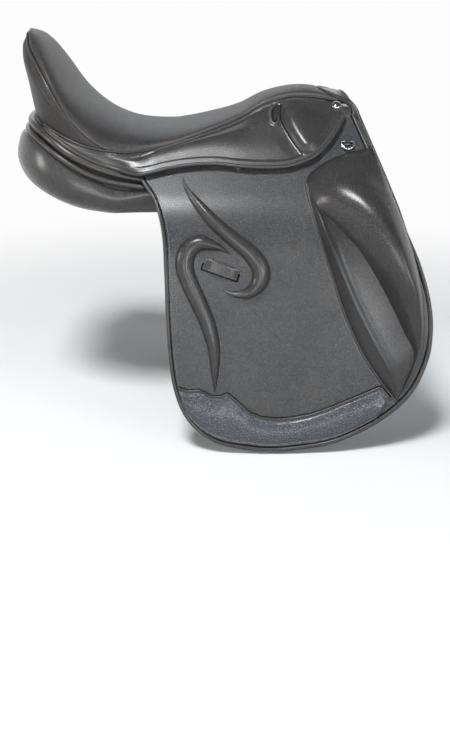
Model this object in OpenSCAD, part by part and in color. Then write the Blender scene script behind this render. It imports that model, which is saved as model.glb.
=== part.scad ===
// Dressage saddle with deep seat, straight flaps, outside thigh blocks and scroll calf rolls.
// +X points to the pommel, +Y to the left side, +Z up.
// The origin lies in the mid-plane on the bearing plane of the panels, below the lowest seat point.

/* [Seat] */
// From the lowest point of the seat back to the tip of the cantle
cantle_reach = 190; // [184:1:196]
// From the lowest point of the seat forward to the edge of the pommel
pommel_reach = 252; // [247:1:256]
// Height of the lowest point of the seat above the bearing plane
seat_height = 110; // [106:1:116]
// Height of the cantle tip above the lowest point of the seat
cantle_rise = 131; // [115:1:135]
// Height of the pommel above the lowest point of the seat
pommel_rise = 52; // [48:1:56]
// Half of the greatest width of the seat
seat_half_width = 122; // [118:1:126]
// Half of the width of the seat at the pommel
pommel_half_width = 38; // [36:1:40]
// Depth of the padded roll round the edge of the cantle
seat_roll = 36; // [32:1:38]
// Thickness of the seat leather
cover_t = 2.5; // [2:0.1:3]

/* [Flaps] */
// Length of the flap along the leather, from its bend to its lower edge
flap_length = 387; // [375:1:395]
// Width of the flap at its widest
flap_width = 360; // [345:1:365]
// From the lowest point of the seat forward to the straight rear edge of the flap
flap_set = 8; // [4:1:12]
// Lean of the upper part of the flap from the vertical
upper_lean = 42; // [41:0.5:43]
// Lean of the lower part of the flap from the vertical
lower_lean = 8; // [6:0.5:10]
// Radius of the bend between the two parts of the flap
bend_r = 170; // [160:5:180]
// Thickness of the flap
flap_t = 4; // [3.5:0.1:4.4]
// Thickness of the sweat flap
sweat_t = 3.5; // [3:0.1:3.8]
// Greatest height of the thigh block above the flap
block_h = 44; // [38:1:48]
// Height of the calf rolls above the flap
roll_h = 8; // [6:0.5:9]

/* [Skirts] */
// Thickness of the skirts
skirt_t = 4; // [3.5:0.1:4.4]
// Distance that the lower edge of the skirt stands off the flap
skirt_off = 6; // [5.5:0.1:7]

/* [Billets] */
// Width of a billet
billet_w = 25; // [22:0.5:28]
// Thickness of a billet
billet_t = 4; // [3.5:0.1:4.2]
// Length of a billet below its web
billet_length = 175; // [160:5:180]
// Diameter of the billet holes
billet_hole_d = 5; // [4.5:0.1:5.5]
// Distance between two billet holes
billet_pitch = 25; // [23:1:26]

/* [Tree] */
// Thickness of the laminated tree
tree_t = 11; // [9:0.5:12]
// Thickness of the steel gullet plate
gullet_t = 4; // [3:0.5:4.5]
// Diameter of the stirrup bar
bar_d = 9; // [8:0.5:9.5]

/* [Panels] */
// Half of the width of the channel between the panels
channel_half = 30; // [28:1:34]
// Radius of the large roll round the back
band_r = 5.5; // [4.5:0.5:6]
// Radius of the small welt below the large roll
welt_r = 3.4; // [3:0.1:3.8]

/* [Hidden] */
// Gap between neighbouring pieces
fit_gap = 0.4;
// Gap between layers of leather that move on each other
layer_gap = 0.6;
// Half of the gap where a leather bends
bend_gap = 1.5;
// Half of the gap where a skirt bends
skirt_gap = 3.2;
// Radial clearance of a pin
pin_gap = 0.06;
// Thickness of the webbing
web_t = 2.4;
// Length of the flat upper part of the flap surface
flat_len = 150;
// Outward place of the top of the flap surface
sheet_out = pommel_half_width + 14;
// Height of the top of the flap surface
sheet_top = seat_height + pommel_rise - 12;
// Place along the leather where the flap bends, rear and front
bend_rear_q = 128;
bend_front_q = 112;
// Lower edge of the flap along the leather
flap_end = 120 + flap_length;
// Depth of each layer below the outer face of the flap
billet_top = flap_t + layer_gap;
sweat_top = billet_top + billet_t + layer_gap;
panel_top_d = sweat_top + sweat_t + 0.5;
// Web layer, under the flap
web_d = billet_top + web_t / 2;
// Front face of the head of the tree
head_x = pommel_reach - 40;
head_len = 62;
leg_d0 = panel_top_d + 17.8;
leg_d1 = panel_top_d + 4.4;
// Stirrup bar
bar_q = 70;
bar_c = -1.8;
bar_x0 = head_x - 84;
bar_x1 = head_x - 6;
catch_x = bar_x0 - 8;
// Cut-out of the leathers round the stirrup bar, rear and front
notch_x0 = catch_x - 23;
notch_x1 = head_x + 3;
// Billet centres
billet_front_x = min(flap_set + 78, catch_x - 34);
billet_x = [min(flap_set + 38, billet_front_x - billet_w - 2), billet_front_x];
web_end = 258;
billet_start = web_end + layer_gap + 3;
// Bend line of the skirt, rear and front
skirt_a = [-20, 124, seat_height - 24];
skirt_b = [pommel_reach - 2, pommel_half_width + 28, seat_height + pommel_rise - 16];

black = [0.09, 0.09, 0.1];
soft_black = [0.13, 0.13, 0.14];
steel = [0.75, 0.76, 0.78];
wood = [0.72, 0.55, 0.35];

// Curves
function mix(a, b, t) = a + (b - a) * t;
function unit01(t) = max(0, min(1, t));
function smooth(a, b, x) =
  let (t = unit01((x - a) / (b - a)))
  t * t * (3 - 2 * t);
function span_of(p, x, i = 0) = i >= len(p) - 2 || x < p[i + 1][0] ? i : span_of(p, x, i + 1);
function slope(p, i) =
  let (a = max(i - 1, 0), b = min(i + 1, len(p) - 1))
  (p[b][1] - p[a][1]) / (p[b][0] - p[a][0]);
// Smooth curve through points, as a height over x
function curve(p, x) =
  let (i = span_of(p, x), w = p[i + 1][0] - p[i][0], t = unit01((x - p[i][0]) / w))
  let (a = p[i][1], b = p[i + 1][1], m = slope(p, i) * w, n = slope(p, i + 1) * w)
  a + t * (m + t * (3 * (b - a) - 2 * m - n + t * (2 * (a - b) + m + n)));
// Smooth curve through points of any kind, t from 0 to 1
function along(p, t) =
  let (s = unit01(t) * (len(p) - 1), i = min(floor(s), len(p) - 2), f = s - i)
  let (a = p[max(i - 1, 0)], b = p[i], c = p[i + 1], d = p[min(i + 2, len(p) - 1)])
  0.5 * (2 * b + f * (c - a + f * (2 * a - 5 * b + 4 * c - d + f * (3 * b - 3 * c + d - a))));
function unit(v) = v / norm(v);

// Places along the saddle in its drawing, moved with the reach of the cantle and the head
function placed(x) =
  x < -80 ? -80 + (x + 80) * (cantle_reach - 80) / 110
  : x > 212 ? head_x + x - 212
  : x > 60 ? 60 + (x - 60) * (head_x - 60) / 152
  : x;
function drawn(x) =
  x < -80 ? -80 + (x + 80) * 110 / (cantle_reach - 80)
  : x > head_x ? 212 + x - head_x
  : x > 60 ? 60 + (x - 60) * 152 / (head_x - 60)
  : x;

// Seat: heights and half widths as shares of the rises and widths, back to front
top_shape = [
  [-1, 1], [-0.91, 0.925], [-0.77, 0.68], [-0.63, 0.41], [-0.49, 0.225], [-0.34, 0.1], [-0.2, 0.03],
  [0, 0], [0.09, 0.02], [0.26, 0.19], [0.43, 0.45], [0.56, 0.78], [0.69, 0.96], [0.78, 1],
  [0.86, 0.96], [1, 0.75]
];
width_shape = [
  [-0.5, 1], [-0.33, 0.98], [-0.16, 0.91], [0, 0.8], [0.2, 0.56], [0.37, 0.33], [0.51, 0.15],
  [0.6, 0.09], [0.7, 0.05], [0.81, 0.025], [1, 0]
];
roll_shape = [
  [-1, 0.12], [-0.985, 0.45], [-0.94, 0.72], [-0.88, 0.92], [-0.76, 1.02], [-0.63, 0.94],
  [-0.5, 0.95], [-0.4, 0.97], [-0.3, 0.83], [-0.16, 0.62], [0, 0.44], [0.2, 0.25], [0.37, 0.19],
  [0.51, 0.16], [0.6, 0.18], [0.7, 0.22], [0.81, 0.26], [0.94, 0.18], [1, 0.14]
];
seat_stations = [
  -0.997, -0.98, -0.94, -0.88, -0.8, -0.7, -0.6, -0.5, -0.4, -0.3, -0.15, 0, 0.15, 0.3, 0.36, 0.42, 0.47,
  0.52, 0.57, 0.62, 0.67, 0.72, 0.82, 0.92, 1
];
function seat_x(u) = u < 0 ? u * cantle_reach : u * pommel_reach;
function seat_u(x) = x < 0 ? x / cantle_reach : x / pommel_reach;
// Plan of the back: half width at x for a given reach and greatest half width
function back_w(x, reach, w) =
  let (c = cantle_reach / 2)
  w * pow(1 - pow(unit01((-x - c) / (reach - c)), 2.3), 1 / 2.3);
function seat_w(x) =
  let (u = seat_u(x))
  u < -0.5 ? back_w(x, cantle_reach, seat_half_width)
  : pommel_half_width + (seat_half_width - pommel_half_width) * curve(width_shape, u);
function seat_top(x) =
  seat_height + (x < 0 ? cantle_rise : pommel_rise) * curve(top_shape, seat_u(x));
function rim(x) = seat_top(x) - seat_roll * curve(roll_shape, seat_u(x));
function tree_top(x) = rim(x) - web_t - 5 * fit_gap;
function tree_low(x) = tree_top(x) - tree_t;

// Flap surface: q runs down the leather from the pommel, d stands out from it
arc_len = bend_r * (upper_lean - lower_lean) * PI / 180;
low_q = flat_len + arc_len;
function lean(q) =
  q <= flat_len ? upper_lean
  : q >= low_q ? lower_lean
  : upper_lean - (q - flat_len) / bend_r * 180 / PI;
function sheet_s(q) =
  sheet_out + min(q, flat_len) * sin(upper_lean) + bend_r * (cos(lean(q)) - cos(upper_lean))
  + max(0, q - low_q) * sin(lower_lean);
function sheet_z(q) =
  sheet_top - min(q, flat_len) * cos(upper_lean) + bend_r * (sin(lean(q)) - sin(upper_lean))
  - max(0, q - low_q) * cos(lower_lean);
function sheet(q, d) = [sheet_s(q) + d * cos(lean(q)), sheet_z(q) + d * sin(lean(q))];
function on_sheet(x, q, d) =
  let (p = sheet(q, d))
  [x, -p[0], p[1]];
// Outward place and length along the flat part, at a height
function flat_s(z) = sheet_out + (sheet_top - z) * tan(upper_lean);
function flat_q(z, d) = (sheet_top + d * sin(upper_lean) - z) / cos(upper_lean);

// Flap outline: rear and front edges as shares of the width, down the length
rear_shape = [
  [-0.05, -0.12], [0.02, -0.089], [0.1, -0.039], [0.22, -0.008], [0.36, 0], [0.5, 0.003],
  [0.65, 0.011], [0.77, 0.028], [0.86, 0.061], [0.92, 0.108], [0.957, 0.161], [0.982, 0.233],
  [1, 0.36]
];
front_shape = [
  [-0.29, 0.685], [-0.2, 0.722], [-0.117, 0.756], [-0.03, 0.789], [0.09, 0.839], [0.21, 0.886],
  [0.33, 0.942], [0.45, 0.983], [0.56, 0.997], [0.67, 0.983], [0.79, 0.924], [0.885, 0.815],
  [0.957, 0.672], [0.982, 0.58], [1, 0.44]
];
function flap_v(q) = (q - 120) / flap_length;
function flap_rear(q) = flap_set + flap_width * curve(rear_shape, flap_v(q));
function flap_front(q) = flap_set + flap_width * curve(front_shape, flap_v(q));
// Bend line of the flap
bend_x0 = flap_rear(bend_rear_q);
bend_x1 = flap_front(bend_front_q);
function bend_q(x) = mix(bend_rear_q, bend_front_q, (x - bend_x0) / (bend_x1 - bend_x0));
// Places on the flap in the drawing of its outline, moved with its size
function fx(x) = flap_set + (x - 8) * flap_width / 360;
function fq(q) = 120 + (q - 120) * flap_length / 387;

// Solids from grids of points
module slab(top, low, keep = undef) {
  n = len(top);
  m = len(top[0]);
  o = n * m;
  function used(i, j) =
    i >= 0 && j >= 0 && i < n - 1 && j < m - 1 && (is_undef(keep) || keep[i][j]);
  function wall(a, b) = [[b, a, a + o], [b, a + o, b + o]];
  polyhedron(
    points = concat([for (r = top) each r], [for (r = low) each r]),
    faces = [
      for (i = [0 : n - 2])
        for (j = [0 : m - 2])
          if (used(i, j))
            let (a = i * m + j, b = a + 1, d = a + m, c = d + 1)
            each concat(
              [[a, b, c], [a, c, d], [a + o, c + o, b + o], [a + o, d + o, c + o]],
              used(i - 1, j) ? [] : wall(a, b),
              used(i + 1, j) ? [] : wall(c, d),
              used(i, j - 1) ? [] : wall(d, a),
              used(i, j + 1) ? [] : wall(b, c)
            )
    ],
    convexity = 6
  );
}

module loft(rings) {
  n = len(rings);
  m = len(rings[0]);
  polyhedron(
    points = [for (r = rings) each r],
    faces = concat(
      [[for (j = [0 : m - 1]) j]],
      [[for (j = [m - 1 : -1 : 0]) (n - 1) * m + j]],
      [
        for (i = [0 : n - 2])
          for (j = [0 : m - 1])
            let (a = i * m + j, b = i * m + (j + 1) % m, c = b + m, d = a + m)
            each [[a, d, c], [a, c, b]]
      ]
    ),
    convexity = 6
  );
}

module tube(p, r, sides) {
  loft([
    for (i = [0 : len(p) - 1])
      let (
        t = unit(p[min(i + 1, len(p) - 1)] - p[max(i - 1, 0)]),
        u = unit(cross(t, [0, 0, 1])),
        v = cross(t, u)
      )
      [for (k = [0 : sides - 1]) p[i] + r * (cos(360 * k / sides) * u + sin(360 * k / sides) * v)]
  ]);
}

// A layer on the flap surface between two depths, from a grid of [x, q] places
module layer(grid, d0, d1) {
  slab(
    [for (r = grid) [for (p = r) on_sheet(p[0], p[1], d1)]],
    [for (r = grid) [for (p = r) on_sheet(p[0], p[1], d0)]]
  );
}

// Frames of the two flat parts of the flap surface: x, up the leather, out of the leather
module upper_plane() {
  translate([0, -sheet_out, sheet_top]) rotate([90 - upper_lean, 0, 0]) children();
}

module lower_plane() {
  translate(on_sheet(0, low_q, 0)) rotate([90 - lower_lean, 0, 0]) children();
}

module plate(x0, x1, q0, q1, d0, d1) {
  translate([x0, -q1, d0]) cube([x1 - x0, q1 - q0, d1 - d0]);
}

module left() {
  mirror([0, 1, 0]) children();
}

// Band that follows a height along x, extruded across the saddle
module cross_band(i0, i1, half, t) {
  xs = [for (i = [i0 : i1]) tree_x(i)];
  n = len(xs) - 1;
  rotate([90, 0, 0])
    linear_extrude(height = 2 * half, center = true)
      polygon(concat(
        [for (x = xs) [x, tree_low(x) + t[1]]],
        [for (i = [n : -1 : 0]) [xs[i], tree_low(xs[i]) + t[0]]]
      ));
}

// Tree, head and irons
function tree_w(x) =
  let (a = seat_w(x) - 11, lim = flat_s(tree_top(x)) - (web_d + web_t) / cos(upper_lean) - 1)
  mix(a, min(a, lim), smooth(-90, -40, x));
tree_x0 = -cantle_reach + 20;
tree_steps = 26;
function tree_x(i) = mix(tree_x0, head_x, i / tree_steps);
rivet_q = [52, 78];
rivet_r = 2.2;

module rivet_holes(gap) {
  for (q = rivet_q)
    for (x = [head_x - 50, head_x - 28])
      translate([x, -q, -leg_d1 - 8]) cylinder(r = rivet_r + gap, h = 20, $fn = 32);
}

module head_leg() {
  upper_plane()
    difference() {
      plate(head_x - head_len, head_x, -10, 86, -leg_d0, -leg_d1);
      rivet_holes(0.1);
    }
}

module head_rivet_axes(r, x0, h) {
  for (q = [30, 66])
    for (s = [-1, 1])
      let (p = sheet(q, -(leg_d0 + leg_d1) / 2))
      translate([x0, s * p[0], p[1]]) rotate([0, 90, 0]) cylinder(r = r, h = h, $fn = 32);
}

module tree() {
  color(wood)
    difference() {
      union() {
        intersection() {
          cross_band(0, tree_steps, seat_half_width, [0, tree_t]);
          linear_extrude(height = 400)
            difference() {
              polygon(concat(
                [for (i = [0 : tree_steps]) [tree_x(i), tree_w(tree_x(i))]],
                [for (i = [tree_steps : -1 : 0]) [tree_x(i), -tree_w(tree_x(i))]]
              ));
              for (x = [-50, 80]) translate([x, 0]) circle(r = 20, $fn = 48);
              translate([-50, -20]) square([130, 40]);
            }
        }
        head_leg();
        left() head_leg();
      }
      head_rivet_axes(rivet_r + 0.1, head_x - 12, 20);
    }
}

module gullet_plate() {
  half = [
    sheet(84, -leg_d1), sheet(2, -leg_d1), [pommel_half_width - 10, tree_top(head_x) - 2]
  ];
  arch = [[18, tree_low(head_x) - 2], sheet(6, -leg_d0), sheet(84, -leg_d0)];
  color(steel)
    translate([head_x + fit_gap, 0, 0])
      difference() {
        rotate([90, 0, 90])
          linear_extrude(height = gullet_t)
            polygon(concat(
              half,
              [for (i = [2 : -1 : 0]) [-half[i][0], half[i][1]]],
              [for (i = [2 : -1 : 0]) [-arch[i][0], arch[i][1]]],
              arch
            ));
        head_rivet_axes(rivet_r + 0.1, -2, gullet_t + 4);
      }
}

module gullet_rivets() {
  color(steel) {
    head_rivet_axes(rivet_r, head_x - 11, 11 + fit_gap + gullet_t + 0.2);
    head_rivet_axes(4, head_x + fit_gap + gullet_t + 0.2, 1.6);
  }
}

module stirrup_bar() {
  color(steel)
    upper_plane()
      union() {
        difference() {
          plate(head_x - head_len, head_x, 45, 85, -leg_d1 + fit_gap, -panel_top_d - 0.2);
          rivet_holes(0.1);
        }
        plate(bar_x1 - 10, bar_x1, bar_q - 5, bar_q + 5, -panel_top_d - 1, bar_c + 3);
        translate([bar_x0, -bar_q, bar_c])
          rotate([0, 90, 0]) cylinder(d = bar_d, h = bar_x1 - bar_x0, $fn = 48);
        plate(catch_x - 6, bar_x0 + 2, bar_q - 3, bar_q + 3, bar_c - 2, bar_c + 1.2);
        translate([catch_x, -bar_q, bar_c]) cylinder(r = 1.5, h = 4.2, $fn = 32);
        translate([catch_x, -bar_q, bar_c + 3.9]) cylinder(r = 2.6, h = 0.8, $fn = 32);
      }
}

module stirrup_bar_right() {
  stirrup_bar();
}

module stirrup_bar_left() {
  left() stirrup_bar();
}

module rivet_set() {
  upper_plane()
    for (q = rivet_q)
      for (x = [head_x - 50, head_x - 28]) {
        translate([x, -q, -leg_d1 - 7])
          cylinder(r = rivet_r, h = 7 + leg_d1 - panel_top_d + 0.1, $fn = 32);
        translate([x, -q, -panel_top_d]) cylinder(r = 3.6, h = 1.4, $fn = 32);
      }
}

module bar_rivets() {
  color(steel) {
    rivet_set();
    left() rivet_set();
  }
}

module bar_catch() {
  color(steel)
    upper_plane()
      difference() {
        union() {
          translate([catch_x, -bar_q, bar_c + 1.6]) cylinder(r = 4, h = 2, $fn = 48);
          plate(catch_x - 16, catch_x, bar_q - 4, bar_q + 4, bar_c + 1.6, bar_c + 3.6);
          plate(catch_x - 16, catch_x - 7.5, bar_q - 4, bar_q + 4, bar_c - 4, bar_c + 3.6);
        }
        translate([catch_x, -bar_q, bar_c]) cylinder(r = 1.5 + pin_gap, h = 6, $fn = 32);
      }
}

module bar_catch_right() {
  bar_catch();
}

module bar_catch_left() {
  left() bar_catch();
}

// Webs
module seat_web() {
  color([0.8, 0.76, 0.66])
    cross_band(1, tree_steps - 1, 19, [tree_t + fit_gap, tree_t + fit_gap + web_t]);
}

function web_path(x) =
  let (w = tree_w(x), z = tree_top(x) + fit_gap + web_t / 2)
  concat(
    [[w - 24, z], [w + 1.5, z], [w + 4.5, z - 2.5], [w + 18, z - 10]],
    [for (q = [flat_q(z - 24, -web_d), 100, 125, 150, 175, 200, 225, low_q, web_end]) sheet(q, -web_d)]
  );

module girth_web(xc) {
  rows = [
    for (x = [xc - billet_w / 2, xc + billet_w / 2])
      let (p = web_path(x))
      [
        for (i = [0 : len(p) - 1])
          let (t = unit(p[min(i + 1, len(p) - 1)] - p[max(i - 1, 0)]))
          [x, p[i], [-t[1], t[0]] * web_t / 2]
      ]
  ];
  function face(k) = [
    for (i = [0 : len(rows[0]) - 1])
      [for (r = rows) let (p = r[i][1] + k * r[i][2]) [r[i][0], -p[0], p[1]]]
  ];
  color([0.8, 0.76, 0.66]) slab(face(1), face(-1));
}

module girth_web_front_right() {
  girth_web(billet_x[1]);
}

module girth_web_rear_right() {
  girth_web(billet_x[0]);
}

module girth_web_front_left() {
  left() girth_web(billet_x[1]);
}

module girth_web_rear_left() {
  left() girth_web(billet_x[0]);
}

// Seat
function seat_row(u, inset, drop) =
  let (x = seat_x(u), w = seat_w(x) - inset, b = rim(x), h = seat_top(x) - drop - b)
  [
    for (k = [0 : 10])
      let (a = 18 * k - 90)
      [x, w * sin(a), b + h * pow(max(cos(a), 0), 0.8)]
  ];

module seat_foam() {
  us = [for (u = seat_stations) max(-0.985, min(0.985, u))];
  top = [for (i = [1 : len(us) - 1]) seat_row(us[i], cover_t + 0.8, cover_t + fit_gap)];
  color([0.85, 0.8, 0.62]) slab(top, [for (r = top) [for (p = r) [p[0], p[1], rim(p[0]) - 0.3]]]);
}

module seat_cover() {
  color(soft_black)
    slab(
      [for (u = seat_stations) seat_row(u, 0, 0)],
      [for (u = seat_stations) seat_row(u, cover_t, cover_t)]
    );
}

// Rim of the seat as a line round the cantle, moved out and down
rim_stations = concat([for (i = [len(seat_stations) - 1 : -1 : 0]) seat_stations[i]]);
function rim_half(out, down) = [
  for (u = rim_stations)
    let (x = seat_x(u), w = seat_w(x), n = unit([u < -0.5 ? -pow(1 - w / seat_half_width, 0.6) : 0, 1]))
    [x + n[0] * out, -w - n[1] * out, rim(x) - down]
];

module seat_welt() {
  half = rim_half(3.7, 1);
  back = [[-cantle_reach - 3.7, 0, rim(-cantle_reach) + 0.5]];
  color(black)
    tube(
      concat(half, back, [for (i = [len(half) - 1 : -1 : 0]) [half[i][0], -half[i][1], half[i][2]]]),
      2.6,
      6
    );
}

// Facing of the cantle, from the rim down to the roll round the back
facing_low = [[-189, 131], [-170, 128], [-160, 122], [-134, 110], [-109, 99], [-88, 95], [-80, 93]];
function facing_low_z(x) = seat_height - 110 + curve(facing_low, drawn(x));

module cantle_facing() {
  xs = [for (a = [75 : -7.5 : -75]) [a, -cantle_reach / 2 * (1 + pow(cos(a), 0.9))]];
  function rows(k) = [
    for (v = [0, 0.5, 1])
      [
        for (p = xs)
          let (
            s = p[0] < 0 ? -1 : 1,
            x0 = max(p[1], -cantle_reach * 0.997),
            x1 = max(p[1] + 9 * pow(cos(p[0]), 2), -cantle_reach + 9.6),
            top = [
              x0 + 3 * k * cos(p[0]),
              s * (seat_w(x0) - 3 * k * abs(sin(p[0]))),
              rim(min(x0 + 4.5 * k * cos(p[0]), -1)) - 2.5
            ],
            low = [
              x1 + 3 * k * cos(p[0]),
              s * (back_w(x1, cantle_reach - 9, seat_half_width) - 3 * k * abs(sin(p[0]))),
              min(rim(x0) - 4, facing_low_z(x1))
            ]
          )
          mix(top, low, v)
      ]
  ];
  color(soft_black) slab(rows(0), rows(1));
}

// Front of the pommel, below the edge of the seat
module pommel_facing() {
  half = [sheet(22, -panel_top_d), sheet(6, -panel_top_d), [pommel_half_width - 8, rim(pommel_reach) - 3.5]];
  arch = [[14, rim(pommel_reach) - 15], sheet(10, -leg_d0), sheet(22, -leg_d0)];
  color(black)
    translate([pommel_reach - 5, 0, 0])
      rotate([90, 0, 90])
        linear_extrude(height = 3)
          polygon(concat(
            half,
            [for (i = [2 : -1 : 0]) [-half[i][0], half[i][1]]],
            [for (i = [2 : -1 : 0]) [-arch[i][0], arch[i][1]]],
            arch
          ));
}

// Skirt: columns of [upper x, lower x, lower height], back to front
skirt_columns = [
  [-158, -156, 118], [-134, -132, 101], [-110, -108, 87], [-85, -84, 76], [-60, -58, 68],
  [-38, -36, 64], [-20, -20, 65], [-18, -18, 65], [10, 10, 71], [40, 42, 75], [72, 76, 76],
  [104, 110, 73], [134, 142, 72], [160, 168, 73], [182, 190, 78], [203, 210, 86], [220, 228, 101],
  [235, 242, 118], [246, 250, 132]
];
skirt_cut = 6;
function skirt_x(x) = x < 0 ? placed(x) : x * pommel_reach / 252;
function skirt_line(x) = mix(skirt_a, skirt_b, (x - skirt_a[0]) / (skirt_b[0] - skirt_a[0]));
// Three points of a column in [outward, height], with their x
function skirt_column(c) =
  let (
    x0 = skirt_x(c[0]),
    x2 = skirt_x(c[1]),
    k = smooth(-100, -70, x0),
    top = [
      (x0 < -cantle_reach / 2 ? back_w(x0, cantle_reach - 9, seat_half_width) : seat_w(x0)) + 5,
      mix(facing_low_z(x0) - 1, rim(x0) - 5.2, k)
    ],
    z = seat_height - 110 + c[2],
    low = [
      mix(
        (x2 < -cantle_reach / 2 ? back_w(x2, cantle_reach - 6, seat_half_width) : seat_half_width) + 7,
        flat_s(z) + (skirt_off + skirt_t) / cos(upper_lean),
        smooth(-80, -15, x2)
      ),
      z
    ],
    line = skirt_line(mix(x0, x2, 0.4)),
    bend = x0 < -19 ? mix(top, low, 0.45) + [1.5, 1] : [line[1], line[2]]
  )
  [[x0, top], [mix(x0, x2, 0.4), bend], [x2, low]];
// Place on the skirt: r runs 0 to 1 above the bend and 1 to 2 below it, gap in millimetres
function skirt_place(c, r, d) =
  let (
    p = skirt_column(c),
    i = r < 1 ? 0 : 1,
    a = p[i],
    b = p[i + 1],
    run = norm(b[1] - a[1]),
    f = i == 0 ? r * (run - skirt_gap) / run : (skirt_gap + (r - 1) * (run - skirt_gap)) / run,
    t = unit(b[1] - a[1]),
    n = [-t[1], t[0]],
    q = mix(a[1], b[1], f) + n * (d + 2.5 * f * (1 - f))
  )
  [mix(a[0], b[0], f), -q[0], q[1]];
skirt_rows = [0, 0.5, 0.999, 1, 1.35, 1.7, 2];

function skirt_grid(cols, rows, d) = [for (r = rows) [for (c = cols) skirt_place(c, r, d)]];

module skirt_top() {
  keep = [
    for (i = [0 : len(skirt_rows) - 2])
      [for (j = [0 : len(skirt_columns) - 2]) i < 2 || j < skirt_cut]
  ];
  color(soft_black)
    slab(skirt_grid(skirt_columns, skirt_rows, 0), skirt_grid(skirt_columns, skirt_rows, -skirt_t), keep);
}

module skirt() {
  cols = [for (i = [skirt_cut + 1 : len(skirt_columns) - 1]) skirt_columns[i]];
  rows = [1, 1.2, 1.45, 1.75, 2];
  color(soft_black) slab(skirt_grid(cols, rows, 0), skirt_grid(cols, rows, -skirt_t));
}

module skirt_top_right() {
  skirt_top();
}

module skirt_top_left() {
  left() skirt_top();
}

module skirt_right() {
  skirt();
}

module skirt_left() {
  left() skirt();
}

// Dome nail on the front of the skirt
nail_column = [240, 245, 122];
module skirt_nail() {
  p = skirt_place(nail_column, 0.62, 0.7);
  n = unit(skirt_place(nail_column, 0.62, 1) - skirt_place(nail_column, 0.62, 0));
  color(steel)
    translate(p)
      rotate([acos(n[2]), 0, atan2(n[1], n[0]) + 90])
        rotate_extrude($fn = 48)
          intersection() {
            translate([0, -6]) circle(r = 9, $fn = 64);
            square([7, 4]);
          }
}

module skirt_nail_right() {
  skirt_nail();
}

module skirt_nail_left() {
  left() skirt_nail();
}

// Flap root, from the tree down to the bend, cut away round the stirrup bar
function notch(x, a, b) = smooth(a - 3, a, x) - smooth(b, b + 3, x);
root_x = [
  -28, 0, 30, 60, notch_x0 - 4, notch_x0, notch_x0 + 33, notch_x0 + 68, notch_x1, notch_x1 + 4, head_x + 30,
  head_x + 51
];
function root_q(x) =
  mix(max(12, flat_q(rim(x) - 13, 0)), 93, notch(x, notch_x0, notch_x1));

module flap_root() {
  n = len(root_x) - 1;
  ends = [flap_rear(bend_rear_q), flap_front(bend_front_q)];
  color(soft_black)
    layer(
      [
        for (v = [0, 0.5, 1])
          [
            for (x = root_x)
              let (
                t = (x - root_x[0]) / (root_x[n] - root_x[0]),
                x1 = mix(ends[0], ends[1], t)
              )
              [mix(x, x1, v), mix(root_q(x), bend_q(x1) - bend_gap, v)]
          ]
      ],
      -flap_t,
      0
    );
}

module flap_root_right() {
  flap_root();
}

module flap_root_left() {
  left() flap_root();
}

// Flap, below the bend
flap_rows = [0, 0.05, 0.09, 0.14, 0.19, 0.24, 0.29, 0.345, 0.46, 0.58, 0.7, 0.81, 0.9, 0.955, 0.985, 1];
function flap_row_q(v, t) =
  mix(mix(bend_rear_q, bend_front_q, t) + bend_gap, flap_end, v);

module flap() {
  color(soft_black)
    layer(
      [
        for (v = flap_rows)
          let (x0 = flap_rear(flap_row_q(v, 0)), x1 = flap_front(flap_row_q(v, 1)))
          [for (t = [0 : 1 / 7 : 1.001]) [mix(x0, x1, t), flap_row_q(v, t)]]
      ],
      -flap_t,
      0
    );
}

module flap_right() {
  flap();
}

module flap_left() {
  left() flap();
}

// Sweat flap, sewn to the panel
sweat_x = [-8, 40, notch_x0 - 5, notch_x0, notch_x0 + 58, notch_x1, notch_x1 + 4, head_x + 59];
function sweat_top_q(x) =
  mix(
    x > head_x ? 12 : flat_q(tree_low(x) - 8, -sweat_top),
    84,
    notch(x, notch_x0, notch_x1)
  );

module sweat_flap() {
  n = len(sweat_x) - 1;
  color(black)
    layer(
      concat(
        [[for (x = sweat_x) [x, sweat_top_q(x)]]],
        [
          for (q = [118, 150, 175, 200, 225, low_q, 330, 410, 460, 490, flap_end - 2])
            let (x0 = flap_rear(q) + 14, x1 = flap_front(q - 2) + mix(12, 3, unit01((q - 100) / 120)))
            [
              for (x = sweat_x)
                let (t = (x - sweat_x[0]) / (sweat_x[n] - sweat_x[0]))
                [mix(x0, x1, t), q]
            ]
        ]
      ),
      -sweat_top - sweat_t,
      -sweat_top
    );
}

module sweat_flap_right() {
  sweat_flap();
}

module sweat_flap_left() {
  left() sweat_flap();
}

// Thigh block: rear and front seams on the flap, ridges and crease between them
block_rear = [
  [204, 127], [208, 165], [216, 210], [233, 265], [251, 315], [275, 366], [302, 407], [322, 431]
];
block_front = [
  [296, 121], [307, 155], [321, 194], [343, 254], [353, 290], [356, 327], [348, 372], [330, 425]
];
main_h = [
  [0, 0.06], [0.07, 0.3], [0.15, 0.56], [0.3, 0.86], [0.45, 1], [0.6, 0.93], [0.75, 0.7], [0.9, 0.36],
  [1, 0.1]
];
main_t = [[0, 0.6], [0.3, 0.72], [0.5, 0.83], [0.7, 0.88], [1, 0.9]];
rear_h = [[0, 0.06], [0.15, 0.22], [0.3, 0.3], [0.5, 0.34], [0.7, 0.32], [0.85, 0.24], [1, 0.1]];
rear_t = [[0, 0.1], [0.3, 0.1], [0.5, 0.14], [0.8, 0.26], [1, 0.3]];
crease_h = [[0, 0.06], [0.15, 0.2], [0.3, 0.23], [0.5, 0.22], [0.7, 0.2], [0.85, 0.17], [1, 0.09]];
crease_t = [[0, 0.22], [0.2, 0.26], [0.4, 0.42], [0.6, 0.58], [0.8, 0.72], [1, 0.78]];
block_rows = [0, 0.05, 0.1, 0.15, 0.21, 0.28, 0.36, 0.44, 0.53, 0.63, 0.74, 0.84, 0.93, 1];

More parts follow.
